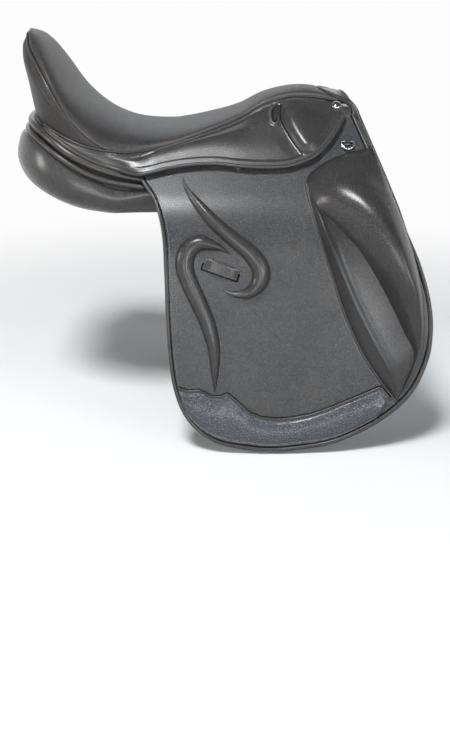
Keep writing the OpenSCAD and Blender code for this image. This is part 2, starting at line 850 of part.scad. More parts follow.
function block_row(v) =
  let (
    a = along(block_rear, v),
    b = along(block_front, v),
    m = curve(main_h, v),
    r = curve(rear_h, v),
    c = curve(crease_h, v),
    tm = curve(main_t, v),
    tr = curve(rear_t, v),
    tc = curve(crease_t, v),
    e = 0.06
  )
  [
    for (k = [
      [0, e], [tr / 2, mix(e, r, 0.82)], [tr, r], [mix(tr, tc, 0.55), mix(r, c, 0.75)], [tc, c],
      [mix(tc, tm, 0.5), mix(c, m, 0.68)], [tm, m], [mix(tm, 1, 0.55), mix(e, m, 0.78)], [1, e]
    ])
      let (p = mix(a, b, k[0]))
      [fx(p[0]), fq(p[1]), k[1] * block_h]
  ];

module thigh_block() {
  grid = [for (v = block_rows) block_row(v)];
  color(soft_black)
    slab(
      [for (r = grid) [for (p = r) on_sheet(p[0], p[1], 0.9 + p[2])]],
      [for (r = grid) [for (p = r) on_sheet(p[0], p[1], 0.9)]]
    );
}

module thigh_block_right() {
  thigh_block();
}

module thigh_block_left() {
  left() thigh_block();
}

// Patch along the lower edge of the flap
patch_top = [
  [21, 416], [36, 421], [52, 420], [69, 429], [82, 429], [90, 424], [104, 437], [120, 452], [136, 459],
  [158, 462], [182, 460], [206, 455], [234, 445], [275, 427], [302, 415], [316, 432]
];
function flap_low_q(x, q = 400) =
  q > flap_end || flap_rear(q) > x || flap_front(q) < x ? q : flap_low_q(x, q + 1);

module flap_patch() {
  n = 18;
  xs = [for (i = [0 : n]) mix(fx(23), fx(314), i / n)];
  top = [for (x = xs) fq(curve(patch_top, 8 + (x - flap_set) * 360 / flap_width))];
  low = [for (i = [0 : n]) max(top[i] + 2, flap_low_q(xs[i]) - 6)];
  color(black)
    layer([for (v = [0, 0.5, 1]) [for (i = [0 : n]) [xs[i], mix(top[i], low[i], v)]]], 0.6, 2.4);
}

module flap_patch_right() {
  flap_patch();
}

module flap_patch_left() {
  left() flap_patch();
}

// Calf rolls: scrolls on the flap as [x, q, half width]
upper_roll = [
  [38, 140, 1.5], [44, 152, 4.5], [54, 168, 7.5], [72, 189, 9], [98, 212, 10], [120, 230, 11.5],
  [134, 249, 12.5], [134, 268, 11.5], [121, 283, 9], [102, 286, 5], [86, 281, 1.5]
];
lower_roll = [
  [91, 230, 1.5], [70, 220, 6], [52, 217, 11], [37, 228, 12.5], [33, 249, 12.5], [40, 272, 12],
  [53, 301, 11.5], [65, 331, 10.5], [72, 363, 8.5], [73, 395, 5.5], [72, 416, 1.5]
];

module calf_roll(p, steps) {
  spine = [for (i = [0 : steps]) along(p, i / steps)];
  cross_t = [-1, -0.75, -0.35, 0.35, 0.75, 1];
  function face(k) = [
    for (i = [0 : steps])
      let (
        c = spine[i],
        t = spine[min(i + 1, steps)] - spine[max(i - 1, 0)],
        n = unit([t[1], -t[0]]),
        w = max(c[2], 1)
      )
      [
        for (a = cross_t)
          on_sheet(
            fx(c[0] + a * w * n[0]),
            fq(c[1] + a * w * n[1]),
            0.7 + k * (0.8 + roll_h * min(1, w / 9) * sqrt(1 - a * a))
          )
      ]
  ];
  color(soft_black) slab(face(1), face(0));
}

module calf_roll_upper_right() {
  calf_roll(upper_roll, 16);
}

module calf_roll_upper_left() {
  left() calf_roll(upper_roll, 16);
}

module calf_roll_lower_right() {
  calf_roll(lower_roll, 16);
}

module calf_roll_lower_left() {
  left() calf_roll(lower_roll, 16);
}

// Keeper for the stirrup leather: a strap loop between the scrolls
keeper_c = [82, 252];
keeper_tilt = 19.5;
module leather_keeper() {
  u = [cos(keeper_tilt), sin(keeper_tilt)];
  w = [-u[1], u[0]];
  run = [[-24, 0], [-17, 0], [-13, 1.6], [-6, 2.8], [0, 3.1], [6, 2.8], [13, 1.6], [17, 0], [24, 0]];
  function face(k) = [
    for (b = [-8, 0, 8])
      [
        for (a = run)
          let (p = keeper_c + a[0] * u + b * w)
          on_sheet(fx(p[0]), fq(p[1]), 0.7 + a[1] + k * 2.2)
      ]
  ];
  color(black) slab(face(1), face(0));
}

module leather_keeper_right() {
  leather_keeper();
}

module leather_keeper_left() {
  left() leather_keeper();
}

// Billets
module billet(xc) {
  q0 = billet_start - low_q;
  color(black)
    lower_plane()
      difference() {
        union() {
          plate(xc - billet_w / 2, xc + billet_w / 2, q0, q0 + billet_length - billet_w / 2,
            -billet_top - billet_t, -billet_top);
          translate([xc, -q0 - billet_length + billet_w / 2, -billet_top - billet_t])
            cylinder(d = billet_w, h = billet_t, $fn = 64);
        }
        for (i = [0 : 5])
          translate([xc, -q0 - billet_length + 18 + i * billet_pitch, -billet_top - billet_t - 1])
            cylinder(d = billet_hole_d, h = billet_t + 2, $fn = 32);
      }
}

module billet_front_right() {
  billet(billet_x[1]);
}

module billet_rear_right() {
  billet(billet_x[0]);
}

module billet_front_left() {
  left() billet(billet_x[1]);
}

module billet_rear_left() {
  left() billet(billet_x[0]);
}

// Front rings
dee_x = head_x + 42;
dee_q = 70.5;
dee_d = 4.4;
dee_r = 8;
dee_leg = 4;
dee_wire = 1.7;

module dee_staple() {
  color(steel)
    upper_plane()
      difference() {
        union() {
          plate(dee_x - 4, dee_x + 4, dee_q - 10, dee_q + 4, 0.4, 2);
          plate(dee_x - 4, dee_x + 4, dee_q - 4, dee_q + 3.5, 1, dee_d + 3.4);
        }
        translate([dee_x - 10, -dee_q, dee_d])
          rotate([0, 90, 0]) cylinder(r = dee_wire + pin_gap, h = 20, $fn = 32);
      }
}

module dee_staple_right() {
  dee_staple();
}

module dee_staple_left() {
  left() dee_staple();
}

module dee() {
  color(steel)
    upper_plane()
      translate([dee_x, -dee_q, dee_d])
        union() {
          translate([-dee_r, 0, 0]) rotate([0, 90, 0]) cylinder(r = dee_wire, h = 2 * dee_r, $fn = 32);
          for (s = [-1, 1])
            translate([s * dee_r, 0, 0]) {
              rotate([90, 0, 0]) cylinder(r = dee_wire, h = dee_leg, $fn = 32);
              sphere(r = dee_wire, $fn = 32);
            }
          translate([0, -dee_leg, 0])
            rotate([0, 0, 180])
              rotate_extrude(angle = 180, $fn = 64) translate([dee_r, 0]) circle(r = dee_wire, $fn = 32);
        }
}

module dee_right() {
  dee();
}

module dee_left() {
  left() dee();
}

// Panels
panel_x = [
  -208, -203, -194, -180, -160, -135, -110, -85, -72, -60, -38, -14, 20, 40, 60, 80, 100, 122, 146, 180, 216,
  228, 240, 252, 264, 276, 288
];
back_top_z = [
  [-208, 104], [-195, 105], [-177, 99], [-152, 88], [-125, 74], [-99, 60], [-74, 48], [-48, 41], [-14, 38]
];
low_z = [
  [-208, 62], [-195, 38], [-174, 23], [-147, 12], [-116, 4], [-80, 0], [120, 0], [200, 4], [288, 18]
];
in_low = [[-208, 66], [-170, 30], [-120, 16], [60, 16], [130, 55], [200, 92], [240, 96], [288, 60]];
low_q_end = [[-14, 140], [60, 142], [150, 165], [240, 185], [264, 182], [288, 170]];
front_top_q = [[236, 14], [252, 38], [264, 68], [276, 98], [288, 128]];

function panel_top(x) =
  min(tree_low(x) - 0.8, seat_height - 110 + mix(98, 118, smooth(60, 125, drawn(x))));
// Ring of the panel at a place of the drawing
function panel_ring(g) =
  let (
    x = placed(g),
    end = g < -160 ? sqrt(1 - pow(unit01((-160 - g) / 52), 2)) : 1,
    s_in = channel_half + 2 * smooth(60, 200, g) + 70 * smooth(236, 288, g),
    sunk = smooth(100, 122, g) - smooth(216, 228, g),
    d_top = -panel_top_d - (leg_d0 - panel_top_d + 1) * sunk,
    q0 = max(14, g > 236 ? curve(front_top_q, g) : flat_q(panel_top(x), d_top)),
    q1 = curve(low_q_end, g),
    sw = [
      for (j = [0 : 4])
        let (q = mix(q0, q1, j / 4))
        sheet(q, q < 104 ? d_top : -panel_top_d)
    ],
    z_to = curve(back_top_z, g) + seat_height - 110,
    s_to = back_w(max(x, placed(-178)), cantle_reach + 16, seat_half_width + 10),
    z_in = min(panel_top(x), z_to + 40),
    z_o = mix(z_to, curve(low_z, g), 0.5) + 3,
    rw = [
      [min(tree_w(max(x, tree_x0)) - 4, s_to - 24), z_in],
      [s_to - 13, mix(z_in, z_to, 0.7)],
      [s_to - 3, z_to],
      [s_to + 4, z_o + 4],
      [s_to + 2, z_o - 8]
    ],
    k = smooth(-70, -16, g),
    out = [for (j = [0 : 4]) mix(rw[j], sw[j], k)],
    zb = curve(low_z, g),
    sb = mix(out[4][0] - 42, out[4][0] - 34, smooth(100, 240, g)),
    zi = curve(in_low, g),
    top_in = g > 236 ? sw[0][1] - 8 : min(z_in, panel_top(x)),
    ring = concat(
      [[s_in, min(top_in, out[0][1])], mix([s_in, min(top_in, out[0][1])], out[0], 0.5)],
      out,
      [
        for (a = [30, 60])
          [mix(sb, out[4][0], cos(a)), mix(out[4][1], zb, sin(a))]
      ],
      [
        [sb, zb],
        [mix(sb, s_in, 0.45), mix(zb, zi, 0.3)],
        [mix(sb, s_in, 0.85), mix(zb, zi, 0.72)],
        [s_in, zi + 4]
      ]
    ),
    mid = [mix(s_in, s_to, 0.55), mix(zb, z_to, 0.5)]
  )
  [
    for (p = ring)
      let (r = g < -160 ? mid + (p - mid) * max(0.15, end) : p)
      [x, -r[0], r[1]]
  ];

module panel() {
  color(black) loft([for (g = panel_x) panel_ring(g)]);
}

module panel_right() {
  panel();
}

module panel_left() {
  left() panel();
}

// Rolls round the back, from one flap to the other
function back_line(reach, w, z) =
  let (
    side = [
      for (x = [-33, -48, -66, -85])
        [x, -w, seat_height - 110 + curve(z, drawn(x))]
    ],
    turn = [
      for (a = [80 : -11 : 3])
        let (x = -cantle_reach / 2 - (reach - cantle_reach / 2) * pow(cos(a), 0.87))
        [x, -back_w(x, reach, w), seat_height - 110 + curve(z, drawn(x))]
    ],
    half = concat(side, turn)
  )
  concat(
    half,
    [[-reach, 0, seat_height - 110 + z[0][1]]],
    [for (i = [len(half) - 1 : -1 : 0]) [half[i][0], -half[i][1], half[i][2]]]
  );
band_z = [[-194, 122], [-170, 116], [-153, 106], [-126, 88], [-94, 72], [-62, 61], [-28, 54], [-10, 52]];
small_z = [[-199, 110], [-176, 106], [-159, 97], [-132, 80], [-99, 62], [-67, 51], [-23, 44], [-8, 42]];

module rear_band() {
  color(soft_black) tube(back_line(cantle_reach + 1.8, seat_half_width + 4.6, band_z), band_r, 8);
}

module rear_welt() {
  color(black) tube(back_line(cantle_reach + 7.5, seat_half_width + 11, small_z), welt_r, 6);
}

// Lining under the tree, along the channel
module channel_lining() {
  color(black) cross_band(1, tree_steps - 1, 20, [-fit_gap - 1.6, -fit_gap]);
}

tree();
gullet_plate();
gullet_rivets();
stirrup_bar_right();
stirrup_bar_left();
bar_rivets();
seat_web();
girth_web_front_right();
girth_web_rear_right();
girth_web_front_left();
girth_web_rear_left();
seat_foam();
seat_cover();
cantle_facing();
seat_welt();
pommel_facing();
skirt_top_right();
skirt_top_left();
skirt_nail_right();
skirt_nail_left();
flap_root_right();
flap_root_left();
sweat_flap_right();
sweat_flap_left();
panel_right();
panel_left();
rear_band();
rear_welt();
dee_staple_right();
dee_staple_left();
channel_lining();
skirt_right();
skirt_left();
flap_right();
flap_left();
thigh_block_right();
thigh_block_left();
flap_patch_right();
flap_patch_left();
calf_roll_upper_right();
calf_roll_upper_left();
calf_roll_lower_right();
calf_roll_lower_left();
leather_keeper_right();
leather_keeper_left();
bar_catch_right();
bar_catch_left();
dee_right();
dee_left();
billet_front_right();
billet_rear_right();
billet_front_left();
billet_rear_left();
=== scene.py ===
"""Dressage saddle: leather, padding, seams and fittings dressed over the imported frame."""
import math
import bpy
import numpy as np
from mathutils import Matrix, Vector


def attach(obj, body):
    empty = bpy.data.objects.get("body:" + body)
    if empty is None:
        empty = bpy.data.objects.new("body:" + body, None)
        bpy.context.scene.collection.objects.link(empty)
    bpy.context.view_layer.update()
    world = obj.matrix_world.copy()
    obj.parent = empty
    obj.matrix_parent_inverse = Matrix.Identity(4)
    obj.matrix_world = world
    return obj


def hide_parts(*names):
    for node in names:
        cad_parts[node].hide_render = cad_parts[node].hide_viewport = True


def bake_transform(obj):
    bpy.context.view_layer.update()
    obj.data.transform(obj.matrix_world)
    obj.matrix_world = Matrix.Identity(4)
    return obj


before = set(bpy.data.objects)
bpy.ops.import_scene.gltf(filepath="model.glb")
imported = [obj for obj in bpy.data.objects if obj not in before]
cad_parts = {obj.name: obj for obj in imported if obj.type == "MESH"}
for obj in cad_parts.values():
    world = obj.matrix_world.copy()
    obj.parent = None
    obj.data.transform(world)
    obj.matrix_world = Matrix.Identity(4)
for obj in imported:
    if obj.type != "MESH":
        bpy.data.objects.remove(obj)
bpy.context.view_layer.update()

MM = 0.001
SIDES = ("right", "left")
ROOT = "saddle"

# Sizes of the saddle, in millimetres
CANTLE_REACH = 190.0
POMMEL_REACH = 252.0
SEAT_HEIGHT = 110.0
CANTLE_RISE = 131.0
POMMEL_RISE = 52.0
SEAT_HALF = 122.0
POMMEL_HALF = 38.0
SEAT_ROLL = 36.0
FLAP_LENGTH = 387.0
FLAP_WIDTH = 360.0
FLAP_SET = 8.0
FLAP_T = 4.0
FLAP_END = 120.0 + FLAP_LENGTH
UPPER_LEAN = math.radians(42)
LOWER_LEAN = math.radians(8)
BEND_R = 170.0
FLAT_LEN = 150.0
SHEET_OUT = POMMEL_HALF + 14
SHEET_TOP = SEAT_HEIGHT + POMMEL_RISE - 12
SKIRT_T = 4.0
SKIRT_OFF = 6.0
HEAD_X = POMMEL_REACH - 40
BILLET_TOP = FLAP_T + 0.6
SWEAT_TOP = BILLET_TOP + 4 + 0.6
SWEAT_T = 3.5
PANEL_D = SWEAT_TOP + SWEAT_T + 0.5
WEB_T = 2.4
WEB_D = BILLET_TOP + WEB_T / 2
LEG_D0 = PANEL_D + 17.8
TREE_T = 11.0
CHANNEL_HALF = 30.0
BEND_REAR_Q = 128.0
BEND_FRONT_Q = 112.0

# Camera in metres and degrees, at the height and tilt of the photograph
CAMERA_PLACE = (0.087, -1.48, 0.345)
CAMERA_TILT = 66.8
CAMERA_LENS = 48.06

# Floor and the round backdrop behind it, in metres
FLOOR_Z = -0.3135
FLOOR_SIZE = 120
BACKDROP_R = 8
BACKDROP_HIGH = 3.2


# Curves

def mix(a, b, t):
    return a + (b - a) * t


def ease(a, b, x):
    t = np.clip((np.asarray(x, float) - a) / (b - a), 0, 1)
    return t * t * (3 - 2 * t)


def curve(points, x):
    """Smooth height through points, over x."""
    p = np.asarray(points, float)
    xs, ys = p[:, 0], p[:, 1]
    m = np.empty(len(xs))
    m[1:-1] = (ys[2:] - ys[:-2]) / (xs[2:] - xs[:-2])
    m[0] = (ys[1] - ys[0]) / (xs[1] - xs[0])
    m[-1] = (ys[-1] - ys[-2]) / (xs[-1] - xs[-2])
    x = np.asarray(x, float)
    i = np.clip(np.searchsorted(xs, x, side="right") - 1, 0, len(xs) - 2)
    w = xs[i + 1] - xs[i]
    t = np.clip((x - xs[i]) / w, 0, 1)
    a, b, c, d = ys[i], ys[i + 1], m[i] * w, m[i + 1] * w
    return a + t * (c + t * (3 * (b - a) - 2 * c - d + t * (2 * (a - b) + c + d)))


def along(points, t):
    """Smooth path through points of any size, t from 0 to 1."""
    p = np.asarray(points, float)
    n = len(p)
    s = np.clip(np.asarray(t, float), 0, 1) * (n - 1)
    i = np.minimum(np.floor(s).astype(int), n - 2)
    f = (s - i)[..., None]
    a, b, c, d = p[np.maximum(i - 1, 0)], p[i], p[i + 1], p[np.minimum(i + 2, n - 1)]
    return 0.5 * (2 * b + f * (c - a + f * (2 * a - 5 * b + 4 * c - d + f * (3 * b - 3 * c + d - a))))


def even(points, n):
    """n places at even steps along a path."""
    p = np.asarray(points, float)
    step = np.r_[0, np.cumsum(np.linalg.norm(np.diff(p, axis=0), axis=1))]
    want = np.linspace(0, step[-1], n)
    return np.stack([np.interp(want, step, p[:, k]) for k in range(p.shape[1])], axis=1)


def length_of(points):
    return float(np.linalg.norm(np.diff(np.asarray(points, float), axis=0), axis=1).sum())


def tangents(path):
    """Unit steps along a path of any size."""
    t = np.gradient(np.asarray(path, float), axis=0)
    return t / np.linalg.norm(t, axis=1)[:, None]


# Seat lines

TOP_SHAPE = [
    (-1, 1), (-0.91, 0.925), (-0.77, 0.68), (-0.63, 0.41), (-0.49, 0.225), (-0.34, 0.1), (-0.2, 0.03),
    (0, 0), (0.09, 0.02), (0.26, 0.19), (0.43, 0.45), (0.56, 0.78), (0.69, 0.96), (0.78, 1), (0.86, 0.96),
    (1, 0.75)]
WIDTH_SHAPE = [
    (-0.5, 1), (-0.33, 0.98), (-0.16, 0.91), (0, 0.8), (0.2, 0.56), (0.37, 0.33), (0.51, 0.15),
    (0.6, 0.09), (0.7, 0.05), (0.81, 0.025), (1, 0)]
ROLL_SHAPE = [
    (-1, 0.12), (-0.985, 0.45), (-0.94, 0.72), (-0.88, 0.92), (-0.76, 1.02), (-0.63, 0.94), (-0.5, 0.95),
    (-0.4, 0.97), (-0.3, 0.83), (-0.16, 0.62), (0, 0.44), (0.2, 0.25), (0.37, 0.19), (0.51, 0.16),
    (0.6, 0.18), (0.7, 0.22), (0.81, 0.26), (0.94, 0.18), (1, 0.14)]
FACING_LOW = [(-189, 131), (-170, 128), (-160, 122), (-134, 110), (-109, 99), (-88, 95), (-80, 93)]


def seat_u(x):
    x = np.asarray(x, float)
    return np.where(x < 0, x / CANTLE_REACH, x / POMMEL_REACH)


def back_w(x, reach, w):
    c = CANTLE_REACH / 2
    f = np.clip((-np.asarray(x, float) - c) / (reach - c), 0, 1)
    return w * (1 - f ** 2.3) ** (1 / 2.3)


def seat_w(x):
    u = seat_u(x)
    front = POMMEL_HALF + (SEAT_HALF - POMMEL_HALF) * curve(WIDTH_SHAPE, u)
    return np.where(u < -0.5, back_w(x, CANTLE_REACH, SEAT_HALF), front)


def seat_top(x):
    x = np.asarray(x, float)
    return SEAT_HEIGHT + np.where(x < 0, CANTLE_RISE, POMMEL_RISE) * curve(TOP_SHAPE, seat_u(x))


def rim(x):
    return seat_top(x) - SEAT_ROLL * curve(ROLL_SHAPE, seat_u(x))


def tree_top(x):
    return rim(x) - WEB_T - 2.0


def tree_low(x):
    return tree_top(x) - TREE_T


def facing_low(x):
    return curve(FACING_LOW, x)


# Flap surface: q runs down the leather, d stands out from it

ARC = BEND_R * (UPPER_LEAN - LOWER_LEAN)
LOW_Q = FLAT_LEN + ARC


def lean(q):
    return np.clip(UPPER_LEAN - (np.asarray(q, float) - FLAT_LEN) / BEND_R, LOWER_LEAN, UPPER_LEAN)


def on_flap(x, q, d):
    """Place on the right flap's surface."""
    x, q, d = np.broadcast_arrays(np.asarray(x, float), np.asarray(q, float), np.asarray(d, float))
    a = lean(q)
    s = (SHEET_OUT + np.minimum(q, FLAT_LEN) * math.sin(UPPER_LEAN)
         + BEND_R * (np.cos(a) - math.cos(UPPER_LEAN)) + np.maximum(0, q - LOW_Q) * math.sin(LOWER_LEAN))
    z = (SHEET_TOP - np.minimum(q, FLAT_LEN) * math.cos(UPPER_LEAN)
         + BEND_R * (np.sin(a) - math.sin(UPPER_LEAN)) - np.maximum(0, q - LOW_Q) * math.cos(LOWER_LEAN))
    return np.stack([x, -(s + d * np.cos(a)), z + d * np.sin(a)], axis=-1)


def flap_normal(q):
    a = lean(q)
    return np.stack([np.zeros_like(a), -np.cos(a), np.sin(a)], axis=-1)


def flat_s(z):
    return SHEET_OUT + (SHEET_TOP - np.asarray(z, float)) * math.tan(UPPER_LEAN)


def flat_q(z, d):
    return (SHEET_TOP + d * math.sin(UPPER_LEAN) - np.asarray(z, float)) / math.cos(UPPER_LEAN)


REAR_SHAPE = [
    (-0.05, -0.12), (0.02, -0.089), (0.1, -0.039), (0.22, -0.008), (0.36, 0), (0.5, 0.003), (0.65, 0.011),
    (0.77, 0.028), (0.86, 0.061), (0.92, 0.108), (0.957, 0.161), (0.982, 0.233), (1, 0.36)]
FRONT_SHAPE = [
    (-0.29, 0.685), (-0.2, 0.722), (-0.117, 0.756), (-0.03, 0.789), (0.09, 0.839), (0.21, 0.886),
    (0.33, 0.942), (0.45, 0.983), (0.56, 0.997), (0.67, 0.983), (0.79, 0.924), (0.885, 0.815),
    (0.957, 0.672), (0.982, 0.58), (1, 0.44)]


def flap_rear(q):
    return FLAP_SET + FLAP_WIDTH * curve(REAR_SHAPE, (np.asarray(q, float) - 120) / FLAP_LENGTH)


def flap_front(q):
    return FLAP_SET + FLAP_WIDTH * curve(FRONT_SHAPE, (np.asarray(q, float) - 120) / FLAP_LENGTH)


BEND_X0 = float(flap_rear(BEND_REAR_Q))
BEND_X1 = float(flap_front(BEND_FRONT_Q))


# Mesh tools

def deselect():
    bpy.ops.object.select_all(action="DESELECT")


def activate(obj):
    deselect()
    obj.select_set(True)
    bpy.context.view_layer.objects.active = obj


def weld(obj, gap=0.00001):
    """Merges the places that meet and turns the faces outwards."""
    activate(obj)
    bpy.ops.object.mode_set(mode="EDIT")
    bpy.ops.mesh.select_all(action="SELECT")
    bpy.ops.mesh.remove_doubles(threshold=gap)
    bpy.ops.mesh.normals_make_consistent(inside=False)
    bpy.ops.object.mode_set(mode="OBJECT")


def finish_with(obj, kind, **settings):
    """Adds a modifier and applies it."""
    m = obj.modifiers.new(kind.title(), kind)
    for k, v in settings.items():
        setattr(m, k, v)
    activate(obj)
    bpy.ops.object.modifier_apply(modifier=m.name)


def soften(obj, width, angle):
    """Rounds the edges that are sharper than an angle."""
    finish_with(obj, "BEVEL", width=width * MM, segments=2, limit_method="ANGLE",
                angle_limit=math.radians(angle))


def smooth(obj, angle=50):
    activate(obj)
    bpy.ops.object.shade_smooth_by_angle(angle=math.radians(angle))
    return obj


def cloth_grid(name, points, toward=None):
    """A grid laid onto points[row][column], in millimetres, with its faces towards a direction."""
    p = np.asarray(points, float)
    if toward is not None:
        du = np.diff(p, axis=1)[:-1]
        dv = np.diff(p, axis=0)[:, :-1]
        if np.sum(np.cross(du, dv) @ np.asarray(toward, float)) < 0:
            p = p[:, ::-1]
    rows, cols = p.shape[:2]
    deselect()
    bpy.ops.mesh.primitive_grid_add(x_subdivisions=cols - 1, y_subdivisions=rows - 1, size=1)
    obj = bpy.context.active_object
    obj.name = obj.data.name = name
    obj.data.vertices.foreach_set("co", (p.reshape(-1, 3) * MM).ravel())
    obj.data.update()
    return obj


def mirrored(points, side):
    """Places of the right side, or their mirror image on the left."""
    p = np.array(points, float)
    if side == "left":
        p[..., 1] *= -1
    return p


def outward(side):
    return (0, -1, 0.4) if side == "right" else (0, 1, 0.4)


def sheet_piece(name, points, thick, toward, bevel=0.9):
    """Leather or web with a thickness: the points are its outer face."""
    obj = cloth_grid(name, points, toward)
    finish_with(obj, "SOLIDIFY", thickness=thick * MM, offset=-1)
    if bevel:
        soften(obj, bevel, 55)
    return smooth(obj)


def pad_piece(name, top, base, angle):
    """A closed pad between two grids that share their border."""
    upper = cloth_grid(name, top)
    lower = cloth_grid(name + "_base", base)
    lower.data.flip_normals()
    activate(upper)
    lower.select_set(True)
    bpy.ops.object.join()
    weld(upper)
    return smooth(upper, angle)


def normals_along(path):
    """Two unit normals carried along a path."""
    t = tangents(path)
    ref = np.array([0, 0, 1.0]) if abs(t[0][2]) < 0.9 else np.array([1.0, 0, 0])
    u = np.cross(t[0], ref)
    us = []
    for step in t:
        u = u - step * np.dot(u, step)
        u /= np.linalg.norm(u)
        us.append(u)
    us = np.array(us)
    return us, np.cross(t, us)


def roll_piece(name, path, radius, sides=12):
    """A closed cord of leather swept along a path, round at its ends."""
    p = np.asarray(path, float)
    r = np.broadcast_to(np.asarray(radius, float), (len(p),))
    t0 = p[0] - p[1]
    t1 = p[-1] - p[-2]
    t0 /= np.linalg.norm(t0)
    t1 /= np.linalg.norm(t1)
    cap = np.radians([0, 30, 60])
    p = np.r_[[p[0] + t0 * r[0] * math.cos(a) for a in cap], p,
              [p[-1] + t1 * r[-1] * math.cos(a) for a in cap[::-1]]]
    r = np.r_[[max(math.sin(a), 0.001) * r[0] for a in cap], r,
              [max(math.sin(a), 0.001) * r[-1] for a in cap[::-1]]]
    u, v = normals_along(p)
    a = np.linspace(0, 2 * math.pi, sides + 1)
    ring = u[:, None] * np.cos(a)[None, :, None] + v[:, None] * np.sin(a)[None, :, None]
    obj = cloth_grid(name, p[:, None] + ring * r[:, None, None])
    weld(obj, 0.00002)
    return smooth(obj, 80)


def stitch_shape():
    """Corners and faces of one stitch, a millimetre in size."""
    deselect()
    bpy.ops.mesh.primitive_uv_sphere_add(segments=6, ring_count=4, radius=0.5)
    obj = bpy.context.active_object
    verts = np.array([v.co for v in obj.data.vertices])
    faces = [tuple(f.vertices) for f in obj.data.polygons]
    bpy.data.objects.remove(obj)
    return verts, faces


STITCH_VERTS, STITCH_FACES = stitch_shape()
STITCH_HIGH = 0.8
STITCH_SLANT = math.radians(9)


def stitches(name, runs, pitch=4.2, long=3.3, wide=0.95):
    """Rows of thread: each run is a path with its outward directions."""
    verts, faces = [], []
    for path, out in runs:
        path = np.asarray(path, float)
        n = max(2, int(length_of(path) / pitch))
        both = even(np.concatenate([path, np.broadcast_to(out, path.shape)], axis=1), n + 1)
        p, o = both[:, :3], both[:, 3:]
        mid = (p[1:] + p[:-1]) / 2
        t = p[1:] - p[:-1]
        t /= np.linalg.norm(t, axis=1)[:, None]
        z = (o[1:] + o[:-1]) / 2
        z -= t * np.sum(z * t, axis=1)[:, None]
        z /= np.linalg.norm(z, axis=1)[:, None]
        y = np.cross(z, t)
        x2 = t * math.cos(STITCH_SLANT) + y * math.sin(STITCH_SLANT)
        y2 = y * math.cos(STITCH_SLANT) - t * math.sin(STITCH_SLANT)
        for c, ax, ay, az in zip(mid, x2, y2, z):
            base = len(verts) * len(STITCH_VERTS)
            verts.append(c + STITCH_VERTS[:, :1] * long * ax + STITCH_VERTS[:, 1:2] * wide * ay
                         + STITCH_VERTS[:, 2:] * STITCH_HIGH * az)
            faces.extend([tuple(i + base for i in f) for f in STITCH_FACES])
    mesh = bpy.data.meshes.new(name)
    mesh.from_pydata((np.concatenate(verts) * MM).tolist(), [], faces)
    obj = bpy.data.objects.new(name, mesh)
    bpy.context.scene.collection.objects.link(obj)
    return smooth(obj, 80)


def copy_of_node(name, node, bevel=0.4):
    """A modelled copy of a frame piece, welded, with its edges softened."""
    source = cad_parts[node]
    obj = bpy.data.objects.new(name, source.data.copy())
    bpy.context.scene.collection.objects.link(obj)
    obj.matrix_world = source.matrix_world.copy()
    activate(obj)
    bpy.ops.object.transform_apply(location=True, rotation=True, scale=True)
    weld(obj)
    soften(obj, bevel, 40)
    return smooth(obj, 40)


# Camera

camera_data = bpy.data.cameras.new("camera")
camera = bpy.data.objects.new("camera", camera_data)
bpy.context.scene.collection.objects.link(camera)
camera.location = CAMERA_PLACE
camera.rotation_euler = (math.radians(CAMERA_TILT), 0, 0)
camera_data.sensor_width = 36
camera_data.lens = CAMERA_LENS
bpy.context.scene.camera = camera
bpy.context.scene.view_settings.view_transform = "Standard"


# Finishes

class Value:
    """A shader socket that stands in an expression."""

    def __init__(self, tree, socket):
        self.tree = tree
        self.socket = socket

    def math(self, operation, *values):
        node = self.tree.nodes.new("ShaderNodeMath")
        node.operation = operation
        for k, v in enumerate(values):
            self.put(node.inputs[k], v)
        return Value(self.tree, node.outputs[0])

    def put(self, socket, v):
        if isinstance(v, Value):
            self.tree.links.new(v.socket, socket)
        else:
            socket.default_value = v

    def __add__(self, other):
        return self.math("ADD", self, other)

    def __radd__(self, other):
        return self.math("ADD", other, self)

    def __sub__(self, other):
        return self.math("SUBTRACT", self, other)

    def __rsub__(self, other):
        return self.math("SUBTRACT", other, self)

    def __mul__(self, other):
        return self.math("MULTIPLY", self, other)

    def __rmul__(self, other):
        return self.math("MULTIPLY", other, self)

    def node(self, kind, settings, sockets, out=0):
        """Any other node: its type, its settings, its sockets, and the output taken."""
        node = self.tree.nodes.new("ShaderNode" + kind)
        for k, v in settings.items():
            setattr(node, k, v)
        for k, v in sockets.items():
            self.put(node.inputs[k], v)
        return Value(self.tree, node.outputs[out])

    def blend(self, a, b):
        """Colour a where this value is 0 and b where it is 1."""
        return self.node("Mix", {"data_type": "RGBA"}, {0: self, 6: a, 7: b}, 2)

    def between(self, low, high):
        return self.node("MapRange", {"interpolation_type": "SMOOTHSTEP"},
                         {"Value": self, "From Min": low, "From Max": high})


def rgb(r, g, b):
    return (r, g, b, 1)


def shade(colour, amount):
    """A colour made darker or lighter."""
    return rgb(*[amount * c for c in colour])


def bare_material(name):
    """A material with only its output, and the place on the piece."""
    material = bpy.data.materials.new(name)
    material.use_nodes = True
    tree = material.node_tree
    tree.nodes.clear()
    out = tree.nodes.new("ShaderNodeOutputMaterial").inputs[0]
    place = Value(tree, tree.nodes.new("ShaderNodeTexCoord").outputs["Object"])
    return material, out, place


def new_finish(name):
    material, out, place = bare_material(name)
    shader = place.tree.nodes.new("ShaderNodeBsdfPrincipled")
    place.tree.links.new(shader.outputs[0], out)
    return material, shader, place


def noise(place, scale, detail=2.0, rough=0.5, out=0):
    """Cloudy noise; output 1 gives it as a colour."""
    return place.node("TexNoise", {}, {"Vector": place, "Scale": scale, "Detail": detail,
                                       "Roughness": rough}, out)


